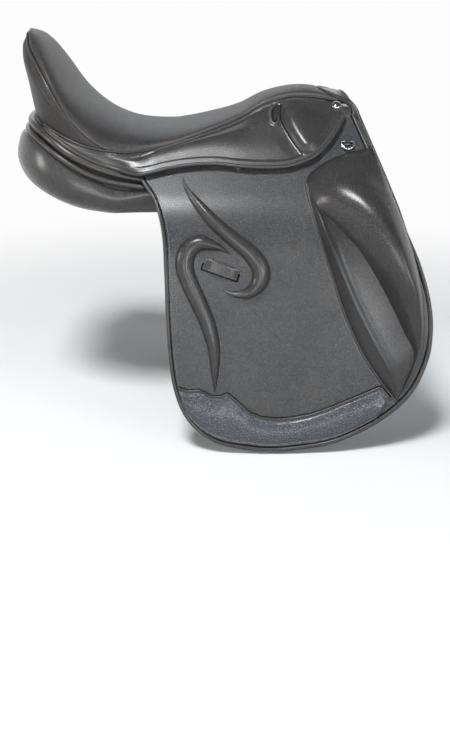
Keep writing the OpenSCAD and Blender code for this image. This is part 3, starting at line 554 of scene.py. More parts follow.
def streaks(place, scales, detail=3, rough=0.5, twist=0.0):
    """Noise drawn out along the axes by three scales."""
    drawn = place.node("Mapping", {}, {"Vector": place, "Scale": scales})
    return place.node("TexNoise", {}, {"Vector": drawn, "Scale": 1, "Detail": detail, "Roughness": rough,
                                       "Distortion": twist})


def set_bump(place, shader, height, strength, distance):
    bump = place.node("Bump", {}, {"Strength": strength, "Distance": distance, "Height": height})
    place.put(shader.inputs["Normal"], bump)


def leather(name, dark, light, worn_and_sheen, rough, pebble, depth, coat=0.0, relief=0.35, shine=0.5):
    """Dyed leather: pebbles of a given number to the metre, uneven dye, high places lightened as rubbed wear
    and painted sheen, and painted shade in folds and near the flap.
    """
    material, shader, place = new_finish(name)
    cloud = noise(place, 13, 4, 0.6)
    fleck = noise(place, 260, 3, 0.6)
    wobble = noise(place, pebble * 0.7, 1, out=1)
    shift = place.node("VectorMath", {"operation": "MULTIPLY_ADD"},
                       {0: wobble, 1: (0.5 / pebble,) * 3, 2: place})
    cell = place.node("TexVoronoi", {"feature": "DISTANCE_TO_EDGE"},
                      {"Vector": shift, "Scale": pebble, "Randomness": 0.95})
    hump = cell.between(0.0, 0.42)
    hump = hump * (2 - hump)
    pore = noise(place, 2600)
    wear_and_sheen = place.node("Attribute", {"attribute_name": "wear_and_sheen"}, {}, 2)
    shade_mask = place.node("Attribute", {"attribute_name": "shade_mask"}, {}, 2)
    # Lighter high places: rubbed wear, and painted sheen along ridges where a piece's rub gain is raised.
    rubbed_and_sheen = (wear_and_sheen * (0.6 + 0.8 * fleck)).between(0.12, 0.95)
    dye = cloud.between(0.32, 0.68).blend(rgb(*dark), rgb(*light))
    dye = (hump * (1 - relief) + relief).blend(shade(dark, 0.4), dye)
    dye = (fleck.between(0.4, 0.75) * 0.3).blend(dye, shade(light, 1.5))
    dye = (rubbed_and_sheen * 0.6).blend(dye, rgb(*worn_and_sheen))
    # Painted shade: folds, creases and places close to the flap darken towards near-black.
    painted_shade = (shade_mask * (0.7 + 0.6 * fleck)).between(0.0, 1.0)
    place.put(shader.inputs["Base Color"], (painted_shade * 0.8).blend(dye, shade(dark, 0.25)))
    place.put(shader.inputs["Roughness"], rough + 0.12 * (cloud - 0.5) + 0.12 * (fleck - 0.5)
              - 0.06 * rubbed_and_sheen + 0.15 * (1 - hump))
    set_bump(place, shader, hump * (1 - 0.4 * rubbed_and_sheen) + 0.2 * pore + 0.35 * fleck, 0.9, depth)
    shader.inputs["Coat Weight"].default_value = coat
    shader.inputs["Coat Roughness"].default_value = 0.26
    shader.inputs["Specular IOR Level"].default_value = shine
    return material


CALF = leather("calf_leather", (0.021, 0.0195, 0.0205), (0.042, 0.038, 0.036), (0.13, 0.12, 0.11), 0.33,
               460, 0.0004, coat=0.55, relief=0.35, shine=0.3)
SEAT = leather("seat_leather", (0.024, 0.0225, 0.0235), (0.046, 0.042, 0.04), (0.13, 0.12, 0.11), 0.36,
               460, 0.0004, coat=0.12, relief=0.35, shine=0.25)
GRAIN = leather("grain_leather", (0.066, 0.071, 0.08), (0.108, 0.104, 0.101), (0.18, 0.175, 0.17), 0.36,
                520, 0.0016, coat=0.4, relief=0.2)
PATCH = leather("patch_leather", (0.036, 0.042, 0.054), (0.062, 0.07, 0.084), (0.22, 0.22, 0.22), 0.3,
                230, 0.0011, coat=0.55, relief=0.3, shine=0.6)
ROLLED = leather("rolled_leather", (0.02, 0.018, 0.018), (0.038, 0.034, 0.031), (0.1, 0.09, 0.084), 0.3,
                 1000, 0.00015, coat=0.5, relief=0.7, shine=0.3)
LINING = leather("panel_leather", (0.022, 0.021, 0.022), (0.036, 0.034, 0.033), (0.1, 0.094, 0.09), 0.26,
                 460, 0.0003, coat=0.7, relief=0.4, shine=0.3)


def thread(name, colour):
    """Waxed thread, or a near-black cord that paints the shade in a crease."""
    material, shader, place = new_finish(name)
    twist = noise(place, 1900)
    tone = twist.between(0.3, 0.7).blend(shade(colour, 0.7), rgb(*colour))
    place.put(shader.inputs["Base Color"], tone)
    place.put(shader.inputs["Roughness"], 0.62 + 0.2 * twist)
    set_bump(place, shader, twist, 0.5, 0.0002)
    shader.inputs["Specular IOR Level"].default_value = min(0.5, 3 * colour[0])
    return material


THREAD = thread("waxed_thread", (0.24, 0.23, 0.22))
CREASE_SHADE = thread("painted_crease_shade", (0.012, 0.011, 0.011))


def metal(name, colour, rough, brushed):
    """Steel with a haze of handling and fine lines along it."""
    material, shader, place = new_finish(name)
    shader.inputs["Metallic"].default_value = 1
    haze = noise(place, 90, 4, 0.6)
    line = streaks(place, (40, 900, 900))
    tone = haze.between(0.35, 0.75).blend(rgb(*colour), shade(colour, 0.86))
    place.put(shader.inputs["Base Color"], tone)
    place.put(shader.inputs["Roughness"], rough + 0.12 * haze.between(0.4, 0.8) + brushed * (line - 0.5))
    set_bump(place, shader, line, 0.25 * brushed + 0.02, 0.0001)
    return material


CHROME = metal("polished_steel", (0.6, 0.61, 0.63), 0.12, 0.06)
FORGED = metal("forged_steel", (0.55, 0.55, 0.56), 0.3, 0.25)


def woven(name, colour):
    """Webbing: ribs across and yarns along, on the strap's own map in millimetres."""
    material, shader, place = new_finish(name)
    strap = place.node("UVMap", {}, {})
    across, length = [place.node("SeparateXYZ", {}, {0: strap}, k) for k in (0, 1)]
    rib = place.math("SINE", length * 2.6) * 0.5 + 0.5
    yarn = place.math("SINE", across * 4.1) * 0.5 + 0.5
    weave = rib * (0.4 + 0.6 * yarn)
    dirt = noise(place, 40, 4)
    tone = weave.blend(shade(colour, 0.55), rgb(*colour))
    tone = (dirt.between(0.45, 0.8) * 0.35).blend(tone, rgb(0.2, 0.17, 0.13))
    place.put(shader.inputs["Base Color"], tone)
    place.put(shader.inputs["Roughness"], 0.78 + 0.15 * weave)
    set_bump(place, shader, weave, 0.6, 0.0005)
    return material


WEBBING = woven("linen_web", (0.5, 0.46, 0.36))


def laminated_wood(name):
    """Thin layers of beech, with fibres along the tree."""
    material, shader, place = new_finish(name)
    ring = streaks(place, (6, 30, 420), 5, 0.65, 0.6)
    line = streaks(place, (30, 700, 700))
    tone = ring.between(0.32, 0.68).blend(rgb(0.2, 0.11, 0.05), rgb(0.45, 0.29, 0.15))
    tone = (line.between(0.4, 0.75) * 0.4).blend(tone, rgb(0.15, 0.085, 0.04))
    place.put(shader.inputs["Base Color"], tone)
    place.put(shader.inputs["Roughness"], 0.42 + 0.2 * line)
    set_bump(place, shader, line + ring, 0.3, 0.0003)
    return material


WOOD = laminated_wood("beech_ply")


def cover(obj, material):
    obj.data.materials.clear()
    obj.data.materials.append(material)


def dress(obj, material, body=None, stands_for=()):
    """Gives a piece its finish, the body it rides on, and the frame nodes it stands for."""
    cover(obj, material)
    if body:
        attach(obj, body)
    if stands_for:
        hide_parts(*stands_for)
    return obj


def height_over_flap(points):
    """Distance of each place from the flap's outer face."""
    q = np.arange(0, FLAP_END + 2, 2.0)
    base, out = on_flap(0, q, 0)[:, 1:], flap_normal(q)[:, 1:]
    flat = np.stack([-np.abs(points[:, 1]), points[:, 2]], axis=1)
    near = np.array([np.argmin(np.sum((base - p) ** 2, axis=1)) for p in flat])
    return np.sum((flat - base[near]) * out[near], axis=1)


# A bend counts as fully rubbed and sheened, or a hollow as fully in painted shade, at about half of this
# radius, in metres
WEAR_RADIUS = 0.006


def gather(start, edges, first, second):
    """Adds to each vertex what its edges bring to their two ends."""
    total = start.copy()
    np.add.at(total, edges[:, 0], first)
    np.add.at(total, edges[:, 1], second)
    return total


def mark_wear_and_shade(obj, reach=1.0, fold=1.0, shade_band=0.0):
    """Marks on each vertex how far it stands out, for rubbed wear and painted sheen, and how deep it lies in
    a fold or how close it is to the flap, for painted shade.
    """
    mesh = obj.data
    n = len(mesh.vertices)
    co = np.empty(n * 3)
    no = np.empty(n * 3)
    mesh.vertices.foreach_get("co", co)
    mesh.vertices.foreach_get("normal", no)
    co, no = co.reshape(-1, 3), no.reshape(-1, 3)
    edge = np.empty(len(mesh.edges) * 2, dtype=np.int32)
    mesh.edges.foreach_get("vertices", edge)
    edge = edge.reshape(-1, 2)
    d = co[edge[:, 1]] - co[edge[:, 0]]
    size = np.maximum(np.linalg.norm(d, axis=1), 1e-7)
    bulge = gather(np.zeros(n), edge, -np.sum(no[edge[:, 0]] * d, axis=1) / size ** 2,
                   np.sum(no[edge[:, 1]] * d, axis=1) / size ** 2)
    count = gather(np.zeros(n), edge, 1, 1)
    bend = bulge / np.maximum(count, 1) * WEAR_RADIUS
    for name, value in (("wear_and_sheen", np.clip(bend * reach, 0, 1)), ("shade_mask", np.clip(-bend * fold, 0, 1))):
        for _ in range(2):
            value = gather(value, edge, value[edge[:, 1]], value[edge[:, 0]]) / (count + 1)
        # Painted shade also falls within a band of this many millimetres over the flap.
        if name == "shade_mask" and shade_band:
            height = height_over_flap(co / MM)
            value = np.maximum(value, np.clip(1 - height / shade_band, 0, 1) ** 1.5)
        mesh.attributes.new(name, "FLOAT", "POINT").data.foreach_set("value", value)
    return obj


def strap_map(obj, across, length):
    """Stretches a strap's map to its real size in millimetres."""
    layer = obj.data.uv_layers[0].data
    uv = np.empty(len(layer) * 2)
    layer.foreach_get("uv", uv)
    layer.foreach_set("uv", (uv.reshape(-1, 2) * [across, length]).ravel())


# Bend of the flap, where its leather turns when it lifts

def bend_points(side):
    q = (BEND_REAR_Q + BEND_FRONT_Q) / 2
    mid = on_flap((BEND_X0 + BEND_X1) / 2, q, 0)
    slope = (BEND_FRONT_Q - BEND_REAR_Q) / (BEND_X1 - BEND_X0)
    down = np.array([0, -math.sin(UPPER_LEAN), -math.cos(UPPER_LEAN)])
    n = np.array([1.0, 0, 0]) * -slope + down
    n /= np.linalg.norm(n)
    pair = mirrored(np.array([mid - 8 * n, mid + 28 * n]), side) * MM
    return tuple(pair[0]), tuple(pair[1])


def with_flap(obj, side):
    """Bakes a piece's placement into its mesh; the flap's bend line is worked out but not used."""
    start, end = bend_points(side)
    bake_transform(obj)
    return obj


def bend_q(x):
    return mix(BEND_REAR_Q, BEND_FRONT_Q, (np.asarray(x, float) - BEND_X0) / (BEND_X1 - BEND_X0))


# Flaps

# Ends of the flap's upper edge, and the notch in it that leaves the stirrup bar free
ROOT_X0, ROOT_X1 = -28.0, HEAD_X + 51
ROOT_Q = 12.0
NOTCH_X0, NOTCH_X1 = 97.0, HEAD_X + 3
NOTCH_Q = 93.0
NOTCH_EDGE = 3.0


def notch(x):
    x = np.asarray(x, float)
    rear = np.clip((x - NOTCH_X0 + NOTCH_EDGE) / NOTCH_EDGE, 0, 1)
    return rear * np.clip((NOTCH_X1 + NOTCH_EDGE - x) / NOTCH_EDGE, 0, 1)


def root_q(x):
    """Upper edge of the flap, close under the seat."""
    return mix(np.maximum(ROOT_Q, flat_q(rim(x) - 13, 0)), NOTCH_Q, notch(x))


def flap_columns(n):
    corners = (NOTCH_X0 - NOTCH_EDGE, NOTCH_X0, NOTCH_X1, NOTCH_X1 + NOTCH_EDGE)
    extra = [(x - ROOT_X0) / (ROOT_X1 - ROOT_X0) for x in corners]
    return np.unique(np.r_[np.linspace(0, 1, n), extra])


def flap_places(t):
    """Places (x, q) of the flap, by rows from its top edge down."""
    top_x = mix(ROOT_X0, ROOT_X1, t)
    bend_x = mix(BEND_X0, BEND_X1, t)
    top_q, mid_q = root_q(top_x), bend_q(bend_x)
    rows = []
    for v in np.linspace(0, 1, 16)[:-1]:
        rows.append(np.stack([mix(top_x, bend_x, v), mix(top_q, mid_q, v)], axis=1))
    for v in 1 - (1 - np.linspace(0, 1, 110)) ** 1.5:
        q = mix(mid_q, FLAP_END, v)
        rows.append(np.stack([mix(flap_rear(q), flap_front(q), t), q], axis=1))
    return np.array(rows)


def flap_outline(n=260):
    """Edge of the flap from the rear top, round below, to the front top."""
    rear = flap_places(np.array([0.0]))[:, 0]
    low = flap_places(np.linspace(0, 1, 12))[-1]
    front = flap_places(np.array([1.0]))[::-1, 0]
    return even(np.concatenate([rear[:-1], low, front[1:]]), n)


def inset(path, dist):
    """A path moved sideways to the right of its run, on the flap."""
    p = np.asarray(path, float)
    t = tangents(p)
    return p + np.stack([t[:, 1], -t[:, 0]], axis=1) * dist


def flap_cord(name, path, d, radius, side, sides=8):
    """A cord along a path of (x, q), at a height d over the flap."""
    return roll_piece(name + side, mirrored(on_flap(path[:, 0], path[:, 1], d), side), radius, sides)


def flap_pad(name, flat, h, lift, side, angle):
    """A pad sewn on the flap: its places (x, q), its heights, and the lift of its base."""
    top = on_flap(flat[..., 0], flat[..., 1], lift + h)
    base = on_flap(flat[..., 0], flat[..., 1], np.full_like(h, lift))
    return pad_piece(name + side, mirrored(top, side), mirrored(base, side), angle)


def flap_run(path, d, side):
    """A run of stitches along a path of (x, q)."""
    p = np.asarray(path, float)
    return mirrored_run((on_flap(p[:, 0], p[:, 1], d), flap_normal(p[:, 1])), side)


def mirrored_run(run, side):
    return mirrored(run[0], side), mirrored(np.broadcast_to(run[1], np.shape(run[0])), side)


outline = flap_outline()
for side in SIDES:
    places = flap_places(flap_columns(90))
    x, q = places[..., 0], places[..., 1]
    swell = 0.5 * np.sin(x / 41 + q / 67) * np.sin(q / 53 - x / 88) * ease(140, 220, q)
    flap = sheet_piece("flap_skin_" + side, mirrored(on_flap(x, q, swell), side), FLAP_T, outward(side))
    dress(mark_wear_and_shade(flap), GRAIN, stands_for=("flap_" + side, "flap_root_" + side))
    with_flap(flap, side)

    edge = flap_cord("flap_binding_", outline, -1.1, 2.6, side, 12)
    with_flap(dress(mark_wear_and_shade(edge, 0.4), ROLLED), side)
    # Near-black cord inside the binding: painted shade in the groove along the flap's edge.
    edge_shade = flap_cord("flap_edge_shade_", inset(outline, 3.1), 0.0, 0.75, side)
    with_flap(dress(edge_shade, CREASE_SHADE), side)
    row = stitches("flap_stitching_" + side, [flap_run(inset(outline, 6.0)[6:-30], 0.15, side)])
    with_flap(dress(row, THREAD), side)


# Sweat flaps

# Ends of the sweat flap's upper edge, its notch, and the row from which it follows the flap's shape
SWEAT_X0, SWEAT_X1 = -8.0, HEAD_X + 59
SWEAT_NOTCH_X = (92, 97, NOTCH_X1, NOTCH_X1 + 4)
SWEAT_NOTCH_Q = 84
SWEAT_Q = 118


def sweat_top_q(x):
    q = np.where(x > HEAD_X, ROOT_Q, flat_q(tree_low(x) - 8, -SWEAT_TOP))
    a, b, c, d = SWEAT_NOTCH_X
    return mix(q, SWEAT_NOTCH_Q, np.clip((x - a) / (b - a), 0, 1) * np.clip((d - x) / (d - c), 0, 1))


def sweat_places(t):
    """Places (x, q) of the sweat flap, by rows from its top edge down."""
    top_x = mix(SWEAT_X0, SWEAT_X1, t)
    mid_x = mix(flap_rear(SWEAT_Q) + 14, flap_front(113) + 12, t)
    rows = []
    for v in np.linspace(0, 1, 14)[:-1]:
        rows.append(np.stack([mix(top_x, mid_x, v), mix(sweat_top_q(top_x), SWEAT_Q, v)], axis=1))
    for q in SWEAT_Q + (FLAP_END + 4 - SWEAT_Q) * (1 - (1 - np.linspace(0, 1, 70)) ** 1.5):
        x0 = flap_rear(q - 5) + 14 * (1 - ease(430, 505, q))
        x1 = flap_front(q - 5) + mix(13.3, 3.5, np.clip((q - 100) / 120, 0, 1))
        rows.append(np.stack([mix(x0, x1, t), np.full_like(t, q)], axis=1))
    return np.array(rows)


for side in SIDES:
    extra = [(x - SWEAT_X0) / (SWEAT_X1 - SWEAT_X0) for x in SWEAT_NOTCH_X]
    places = sweat_places(np.unique(np.r_[np.linspace(0, 1, 46), extra]))
    face = mirrored(on_flap(places[..., 0], places[..., 1], -SWEAT_TOP), side)
    sweat = sheet_piece("sweat_flap_skin_" + side, face, SWEAT_T, outward(side))
    dress(mark_wear_and_shade(sweat), LINING, ROOT, ("sweat_flap_" + side,))

    front = sweat_places(np.array([1.0]))[:, 0]
    low = sweat_places(np.linspace(1, 0, 10))[-1]
    rear = sweat_places(np.array([0.0]))[::-1, 0]
    edge = even(np.concatenate([front[:-1], low, rear[1:40]]), 200)
    rim_roll = flap_cord("sweat_flap_edge_", edge, -SWEAT_TOP - 2, 2.1, side, 12)
    dress(mark_wear_and_shade(rim_roll, 0.3), ROLLED, ROOT)


# Seat

def seat_stations():
    rear = -CANTLE_REACH * (1 - np.linspace(0, 1, 80) ** 1.9)
    front = POMMEL_REACH * (1 - (1 - np.linspace(0, 1, 80)) ** 1.4)
    return np.r_[rear[:-1], front]


SEAT_NOSE = 7.0
SEAT_CROWN = 0.8


def seat_rows(xs, n=72):
    """Upper and lower face of the seat, across each station."""
    a = np.linspace(-math.pi / 2, math.pi / 2, n)
    w, b = seat_w(xs)[:, None], rim(xs)[:, None]
    h = (seat_top(xs) - rim(xs))[:, None]
    nose = ((xs[:, None] - POMMEL_REACH + SEAT_NOSE) / SEAT_NOSE).clip(0, 1)
    h = h * np.sqrt(np.clip(1 - nose ** 2, 0, 1))
    h[0] = 0
    y = w * np.sin(a)
    x = np.broadcast_to(xs[:, None], y.shape)
    top = np.stack([x, y, b + h * np.cos(a) ** SEAT_CROWN], axis=-1)
    low = np.stack([x, y, b - 1.2 * np.cos(a) * (h > 0.01)], axis=-1)
    return top, low


RIDGE_IN = [(-190, 4.5), (-177, 5.5), (-165, 6), (-148, 4), (-134, 1.5), (-112, 0), (300, 0)]


def crown_dip(x, y):
    """Dip in the middle of the cantle's ridge."""
    return 1.8 * np.exp(-(y / 20) ** 2) * (1 - ease(-182, -150, x))


def ridge_in(points):
    """Draws the cantle's ridge forward, so that the back swells behind it."""
    p = np.array(points, float)
    p[..., 2] -= crown_dip(p[..., 0], p[..., 1])
    p[..., 0] += curve(RIDGE_IN, p[..., 0])
    return p


top, low = seat_rows(seat_stations())
seat = pad_piece("seat", ridge_in(top), ridge_in(low), 60)
dress(mark_wear_and_shade(seat, 3), SEAT, ROOT, ("seat_cover", "seat_foam"))

PIPING_X = -60.0


def cantle_edge(out=2.2, down=0.4, n=150):
    """Line just outside the seat's edge, from the middle of the cantle forward on the right."""
    xs = mix(-CANTLE_REACH, PIPING_X, np.linspace(0, 1, n) ** 1.6)
    # The end of the line turns back on itself, under the seat's edge
    xs = np.r_[xs, np.linspace(PIPING_X + 1, PIPING_X, n)]
    w = seat_w(xs)
    nx = np.where(xs < -CANTLE_REACH / 2, -(1 - w / SEAT_HALF).clip(0, 1) ** 0.6, 0)
    s = np.hypot(nx, 1)
    ny = np.where(w < 1, 0, 1)
    return np.stack([xs + nx / s * out, -w - ny / s * out, rim(xs) - down], axis=1)


half = cantle_edge()
path = ridge_in(even(np.concatenate([half[:0:-1], mirrored(half, "left")]), 300))
r = np.interp(path[:, 0], [-190, -150, -118, -95, PIPING_X], [1.9, 1.8, 1.2, 0.4, 0.2])
path[:, 2] -= np.interp(path[:, 0], [-150, -95], [0, 3])
path[:, 1] *= np.interp(path[:, 0], [-150, -95], [1, 0.97])
ridge = roll_piece("cantle_piping", path, r, 10)
dress(mark_wear_and_shade(ridge, 0.35), ROLLED, ROOT)


# Cantle facing

FACING_TOP_X = -CANTLE_REACH * 0.998
FACING_LOW_X = -CANTLE_REACH + 9.6


def facing_rows(n=24):
    """Leather over the back of the cantle, by rows from the ridge down, and its outward directions."""
    a = np.radians(np.linspace(90, -90, 121))
    side = np.where(a < 0, -1.0, 1.0)
    x = -CANTLE_REACH / 2 * (1 + np.cos(a).clip(0, 1) ** 0.9)
    x0 = np.maximum(x, FACING_TOP_X)
    x1 = np.maximum(x + 9 * np.cos(a) ** 2, FACING_LOW_X)
    side_x = np.linspace(-74, -94, 9)
    x0 = np.r_[side_x, x0, side_x[::-1]]
    x1 = np.r_[side_x, x1, side_x[::-1]]
    side = np.r_[np.ones(9), side, -np.ones(9)]
    turn = np.r_[np.full(9, math.pi / 2), a, np.full(9, -math.pi / 2)]
    top = np.stack([x0, side * seat_w(x0), rim(x0) - 1.2], axis=1)
    reach = np.where(x1 < -CANTLE_REACH / 2, back_w(x1, CANTLE_REACH - 9, SEAT_HALF), seat_w(x1))
    low = np.stack([x1, side * (reach + 0.5), np.minimum(rim(x0) - 3, facing_low(x1) - 4)], axis=1)
    for edge, end in ((top, FACING_TOP_X), (low, FACING_LOW_X)):
        flat = edge[:, 0] < end + 0.01
        across = np.linspace(1, -1, flat.sum())
        edge[flat, 0] -= 0.4 * (1 - across ** 2)
        edge[flat, 1] = edge[flat, 1].max() * across
    out = np.stack([-np.cos(turn), np.sin(turn), np.zeros_like(turn)], axis=1)
    high = (top[:, 2] - low[:, 2])[:, None]
    rows = []
    for v in np.linspace(0, 1, n) ** 1.5:
        bulge = 0.03 * high * math.sin(math.pi * v) ** 0.8
        rear = 5 * np.cos(turn).clip(0, 1)[:, None]
        bulge = bulge + rear * min(v / 0.1, 1) ** 0.6 * math.exp(-((v - 0.1) / 0.3) ** 2)
        row = mix(top, low, v) + out * bulge
        row[:, 0] += curve(RIDGE_IN, top[:, 0]) * (1 - math.sin(min(v / 0.2, 1) * math.pi / 2) ** 0.7)
        row[:, 2] -= crown_dip(top[:, 0], row[:, 1]) * (1 - v)
        rows.append(row)
    return np.array(rows), out


rows, facing_out = facing_rows()
facing = cloth_grid("cantle_back", rows)
du, dv = rows[8, 70] - rows[8, 69], rows[9, 69] - rows[8, 69]
if np.dot(np.cross(du, dv), facing_out[69]) < 0:
    facing.data.flip_normals()
finish_with(facing, "SOLIDIFY", thickness=2.6 * MM, offset=-1)
smooth(facing)
dress(mark_wear_and_shade(facing), SEAT, ROOT, ("cantle_facing",))


# Skirts

# Columns of the skirt: x at its top, then x and height at its lower edge
SKIRT_COLUMNS = [
    (-158, -156, 118), (-134, -132, 101), (-110, -108, 87), (-85, -84, 76), (-60, -58, 68),
    (-38, -36, 64), (-20, -20, 65), (10, 10, 71), (40, 42, 75), (72, 76, 76), (104, 110, 73),
    (134, 142, 72), (160, 168, 73), (182, 190, 78), (203, 210, 86), (220, 228, 101), (235, 242, 118),
    (246, 250, 132)]
SKIRT_X0, SKIRT_X1 = -158, 246
# Rear and front end of the line on which the skirt bends, and the height from which its q runs down
SKIRT_A = np.array([-20, 124, SEAT_HEIGHT - 24])
SKIRT_B = np.array([POMMEL_REACH - 2, POMMEL_HALF + 28, SEAT_HEIGHT + POMMEL_RISE - 16])
SKIRT_Q_Z = 156.7
SEAM_Z = [
    (-189, 129), (-174, 127), (-158, 120), (-142, 112.6), (-126, 105.2), (-110, 98.6), (-94, 93.6),
    (-78, 90), (-62, 87.8)]


def seam_top(x):
    """Height of the skirt's upper edge, where it is sewn to the seat."""
    return mix(curve(SEAM_Z, min(x, -62)), rim(x) - 2.6, ease(-72, -60, x))


def skirt_q(z):
    """Way down the skirt to a height."""
    return (SKIRT_Q_Z - z) / math.cos(UPPER_LEAN)


def skirt_column(x0):
    """Top, bend and lower place of a column of the skirt, as (x, out, height)."""
    c = np.array(SKIRT_COLUMNS, float)
    x2 = float(curve(c[:, [0, 1]], x0))
    z = float(curve(c[:, [0, 2]], x0))
    out = back_w(x0, CANTLE_REACH - 9, SEAT_HALF) if x0 < -CANTLE_REACH / 2 else seat_w(x0)
    top = np.array([x0, out + mix(5, 3, ease(-100, -70, x0)), seam_top(x0)], float)
    out = back_w(x2, CANTLE_REACH - 6, SEAT_HALF) if x2 < -CANTLE_REACH / 2 else SEAT_HALF
    over_flap = flat_s(z) + (SKIRT_OFF + SKIRT_T) / math.cos(UPPER_LEAN)
    low = np.array([x2, mix(out + 7, over_flap, ease(-80, -15, x2)), z], float)
    line = mix(SKIRT_A, SKIRT_B, (mix(x0, x2, 0.4) - SKIRT_A[0]) / (SKIRT_B[0] - SKIRT_A[0]))
    line = line - [0, 0, 9 * ease(175, 238, x0)]
    bend = mix(top, low, 0.45) + [0, 1.5, 1]
    return top, mix(bend, line, ease(-30, -8, x0)), low


# Fold at the front of the skirt as (q, x), and the small curl of leather before it as (x, q, half width)
PLEAT = [(10, 166), (17, 165), (35, 164), (49, 167), (75, 180), (103, 198)]
CURL = [
    (166, 18, 0.6), (158, 18.5, 2.2), (151.5, 24, 3), (148.5, 34, 3), (150.5, 43, 2.6), (155, 46.5, 2),
    (159.5, 42.5, 1.4), (160.5, 36, 0.6)]
CURL_EYE = np.array([155.0, 35.0])


def skirt_relief(x, q, down, left):
    """Height of the skirt's pressed and puffed places; down and left are millimetres from its edges."""
    on_top = 1 - ease(222, 232, x)
    border = 1.0 * (1 - ease(6.5, 9, down)) * ease(-120, -70, x) * on_top
    ahead = x - curve(PLEAT, q)
    field = ease(8, 11, left) * ease(7, 10, down) * (1 - ease(-2.5, 0, ahead)) * ease(-150, -110, x)
    soft = 1.4 * np.sin(np.clip(left / 64, 0, 1) * math.pi) ** 2 * ease(-60, 40, x)
    soft *= 1 - ease(-26, -8, ahead)
    fold = np.clip(ahead + 0.5, 0, None)
    puff = 10 * (1 - np.exp(-(fold / 9) ** 1.3)) * np.exp(-(fold / 40) ** 2) * ease(4, 22, left)
    puff *= ease(2, 14, down)
    gap = np.full(x.shape, 99.0)
    for px, pq, w in along(CURL, np.linspace(0, 1, 60)):
        gap = np.minimum(gap, np.hypot(x - px, q - pq) / w)
    curl = 2.2 * np.clip(1 - gap ** 2, 0, 1) ** 0.5
    curl -= 1.4 * np.exp(-((x - CURL_EYE[0]) / 4) ** 4 - ((q - CURL_EYE[1]) / 9) ** 4)
    groove = -0.9 * np.exp(-((down - 8) / 1.0) ** 2) * ease(-120, -70, x) * on_top
    return (border - 1.2 * field + groove) * ease(26, 46, down + left) + soft + puff + curl


def skirt_places(n_rows=76, n_cols=290):
    """Outer face of the right skirt, its outward directions, and the way left to its lower edge."""
    grid = np.zeros((n_rows, n_cols, 3))
    for j, x0 in enumerate(np.linspace(SKIRT_X0, SKIRT_X1, n_cols)):
        column = skirt_column(x0)
        grid[:, j] = mix(along(column, np.linspace(0, 1, n_rows)), even(column, n_rows), 0.6)
    t = np.gradient(grid, axis=0)
    n = np.stack([np.zeros(t.shape[:2]), -t[..., 2], t[..., 1]], axis=-1)
    n /= np.linalg.norm(n, axis=-1)[..., None]
    step = np.linalg.norm(np.diff(grid, axis=0), axis=-1)
    down = np.concatenate([np.zeros((1, n_cols)), np.cumsum(step, axis=0)])
    left = down[-1] - down
    f = down / down[-1]
    rise = 2.0 * f * (1 - f) + skirt_relief(grid[..., 0], skirt_q(grid[..., 2]), down, left)
    full = grid + n * rise[..., None]
    return full * [1, -1, 1], n * [1, -1, 1], left


skirt_grid, skirt_normals, skirt_left = skirt_places()
skirt_axis = (SKIRT_B - SKIRT_A) / np.linalg.norm(SKIRT_B - SKIRT_A)
skirt_mid = (SKIRT_A + SKIRT_B) / 2
skirt_down = np.array([0, 0.68, -0.73])
skirt_down -= skirt_axis * np.dot(skirt_down, skirt_axis)
skirt_down /= np.linalg.norm(skirt_down)


def on_skirt(points):
    """Places on the right skirt's face nearest to the given (x, q)."""
    q = skirt_q(skirt_grid[..., 2])
    found = []
    for px, pq in points:
        k = np.argmin((skirt_grid[..., 0] - px) ** 2 + (q - pq) ** 2)
        found.append(skirt_grid.reshape(-1, 3)[k])
    found = np.array(found)
    for _ in range(3):
        found[1:-1] = (found[:-2] + 2 * found[1:-1] + found[2:]) / 4
    return found


def with_skirt(obj, side):
    """Bakes a piece's placement into its mesh; the skirt's bend line is worked out but not used."""
    pair = np.array([skirt_mid - 5 * skirt_down, skirt_mid + 22 * skirt_down]) * [1, -1, 1]
    pair = mirrored(pair, side) * MM
    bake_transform(obj)
    return obj


def skirt_run(away, d, side, first=0):
    """A run of stitches where the distance from an edge of the skirt is least, from a column on."""
    cols = np.arange(first, skirt_grid.shape[1])
    k = np.argmin(away, axis=0)[first:]
    out = skirt_normals[k, cols]
    return mirrored_run((skirt_grid[k, cols] + out * d, out), side)


def skirt_crease():
    """Line of painted shade in the fold, and its thickness."""
    q = np.linspace(20, 98, 60)
    line = on_skirt(np.stack([curve(PLEAT, q) - 0.6, q], axis=1)) + [0, 0.5, 0]
    return line, np.interp(np.linspace(0, 1, 60), [0, 0.2, 0.8, 1], [0.3, 1, 1, 0.2])


def skirt_hook():
    """Line of painted shade inside the curl, and its thickness."""
    hook = along(CURL, np.linspace(0, 1, 40))
    inward = CURL_EYE - hook[:, :2]
    inward *= (hook[:, 2:] + 0.5) / np.linalg.norm(inward, axis=1)[:, None]
    line = on_skirt(hook[:, :2] + inward) + [0, 0.3, 0]
    return line, np.interp(np.linspace(0, 1, 40), [0, 0.4, 0.8, 1], [0.2, 0.9, 0.9, 0.2])


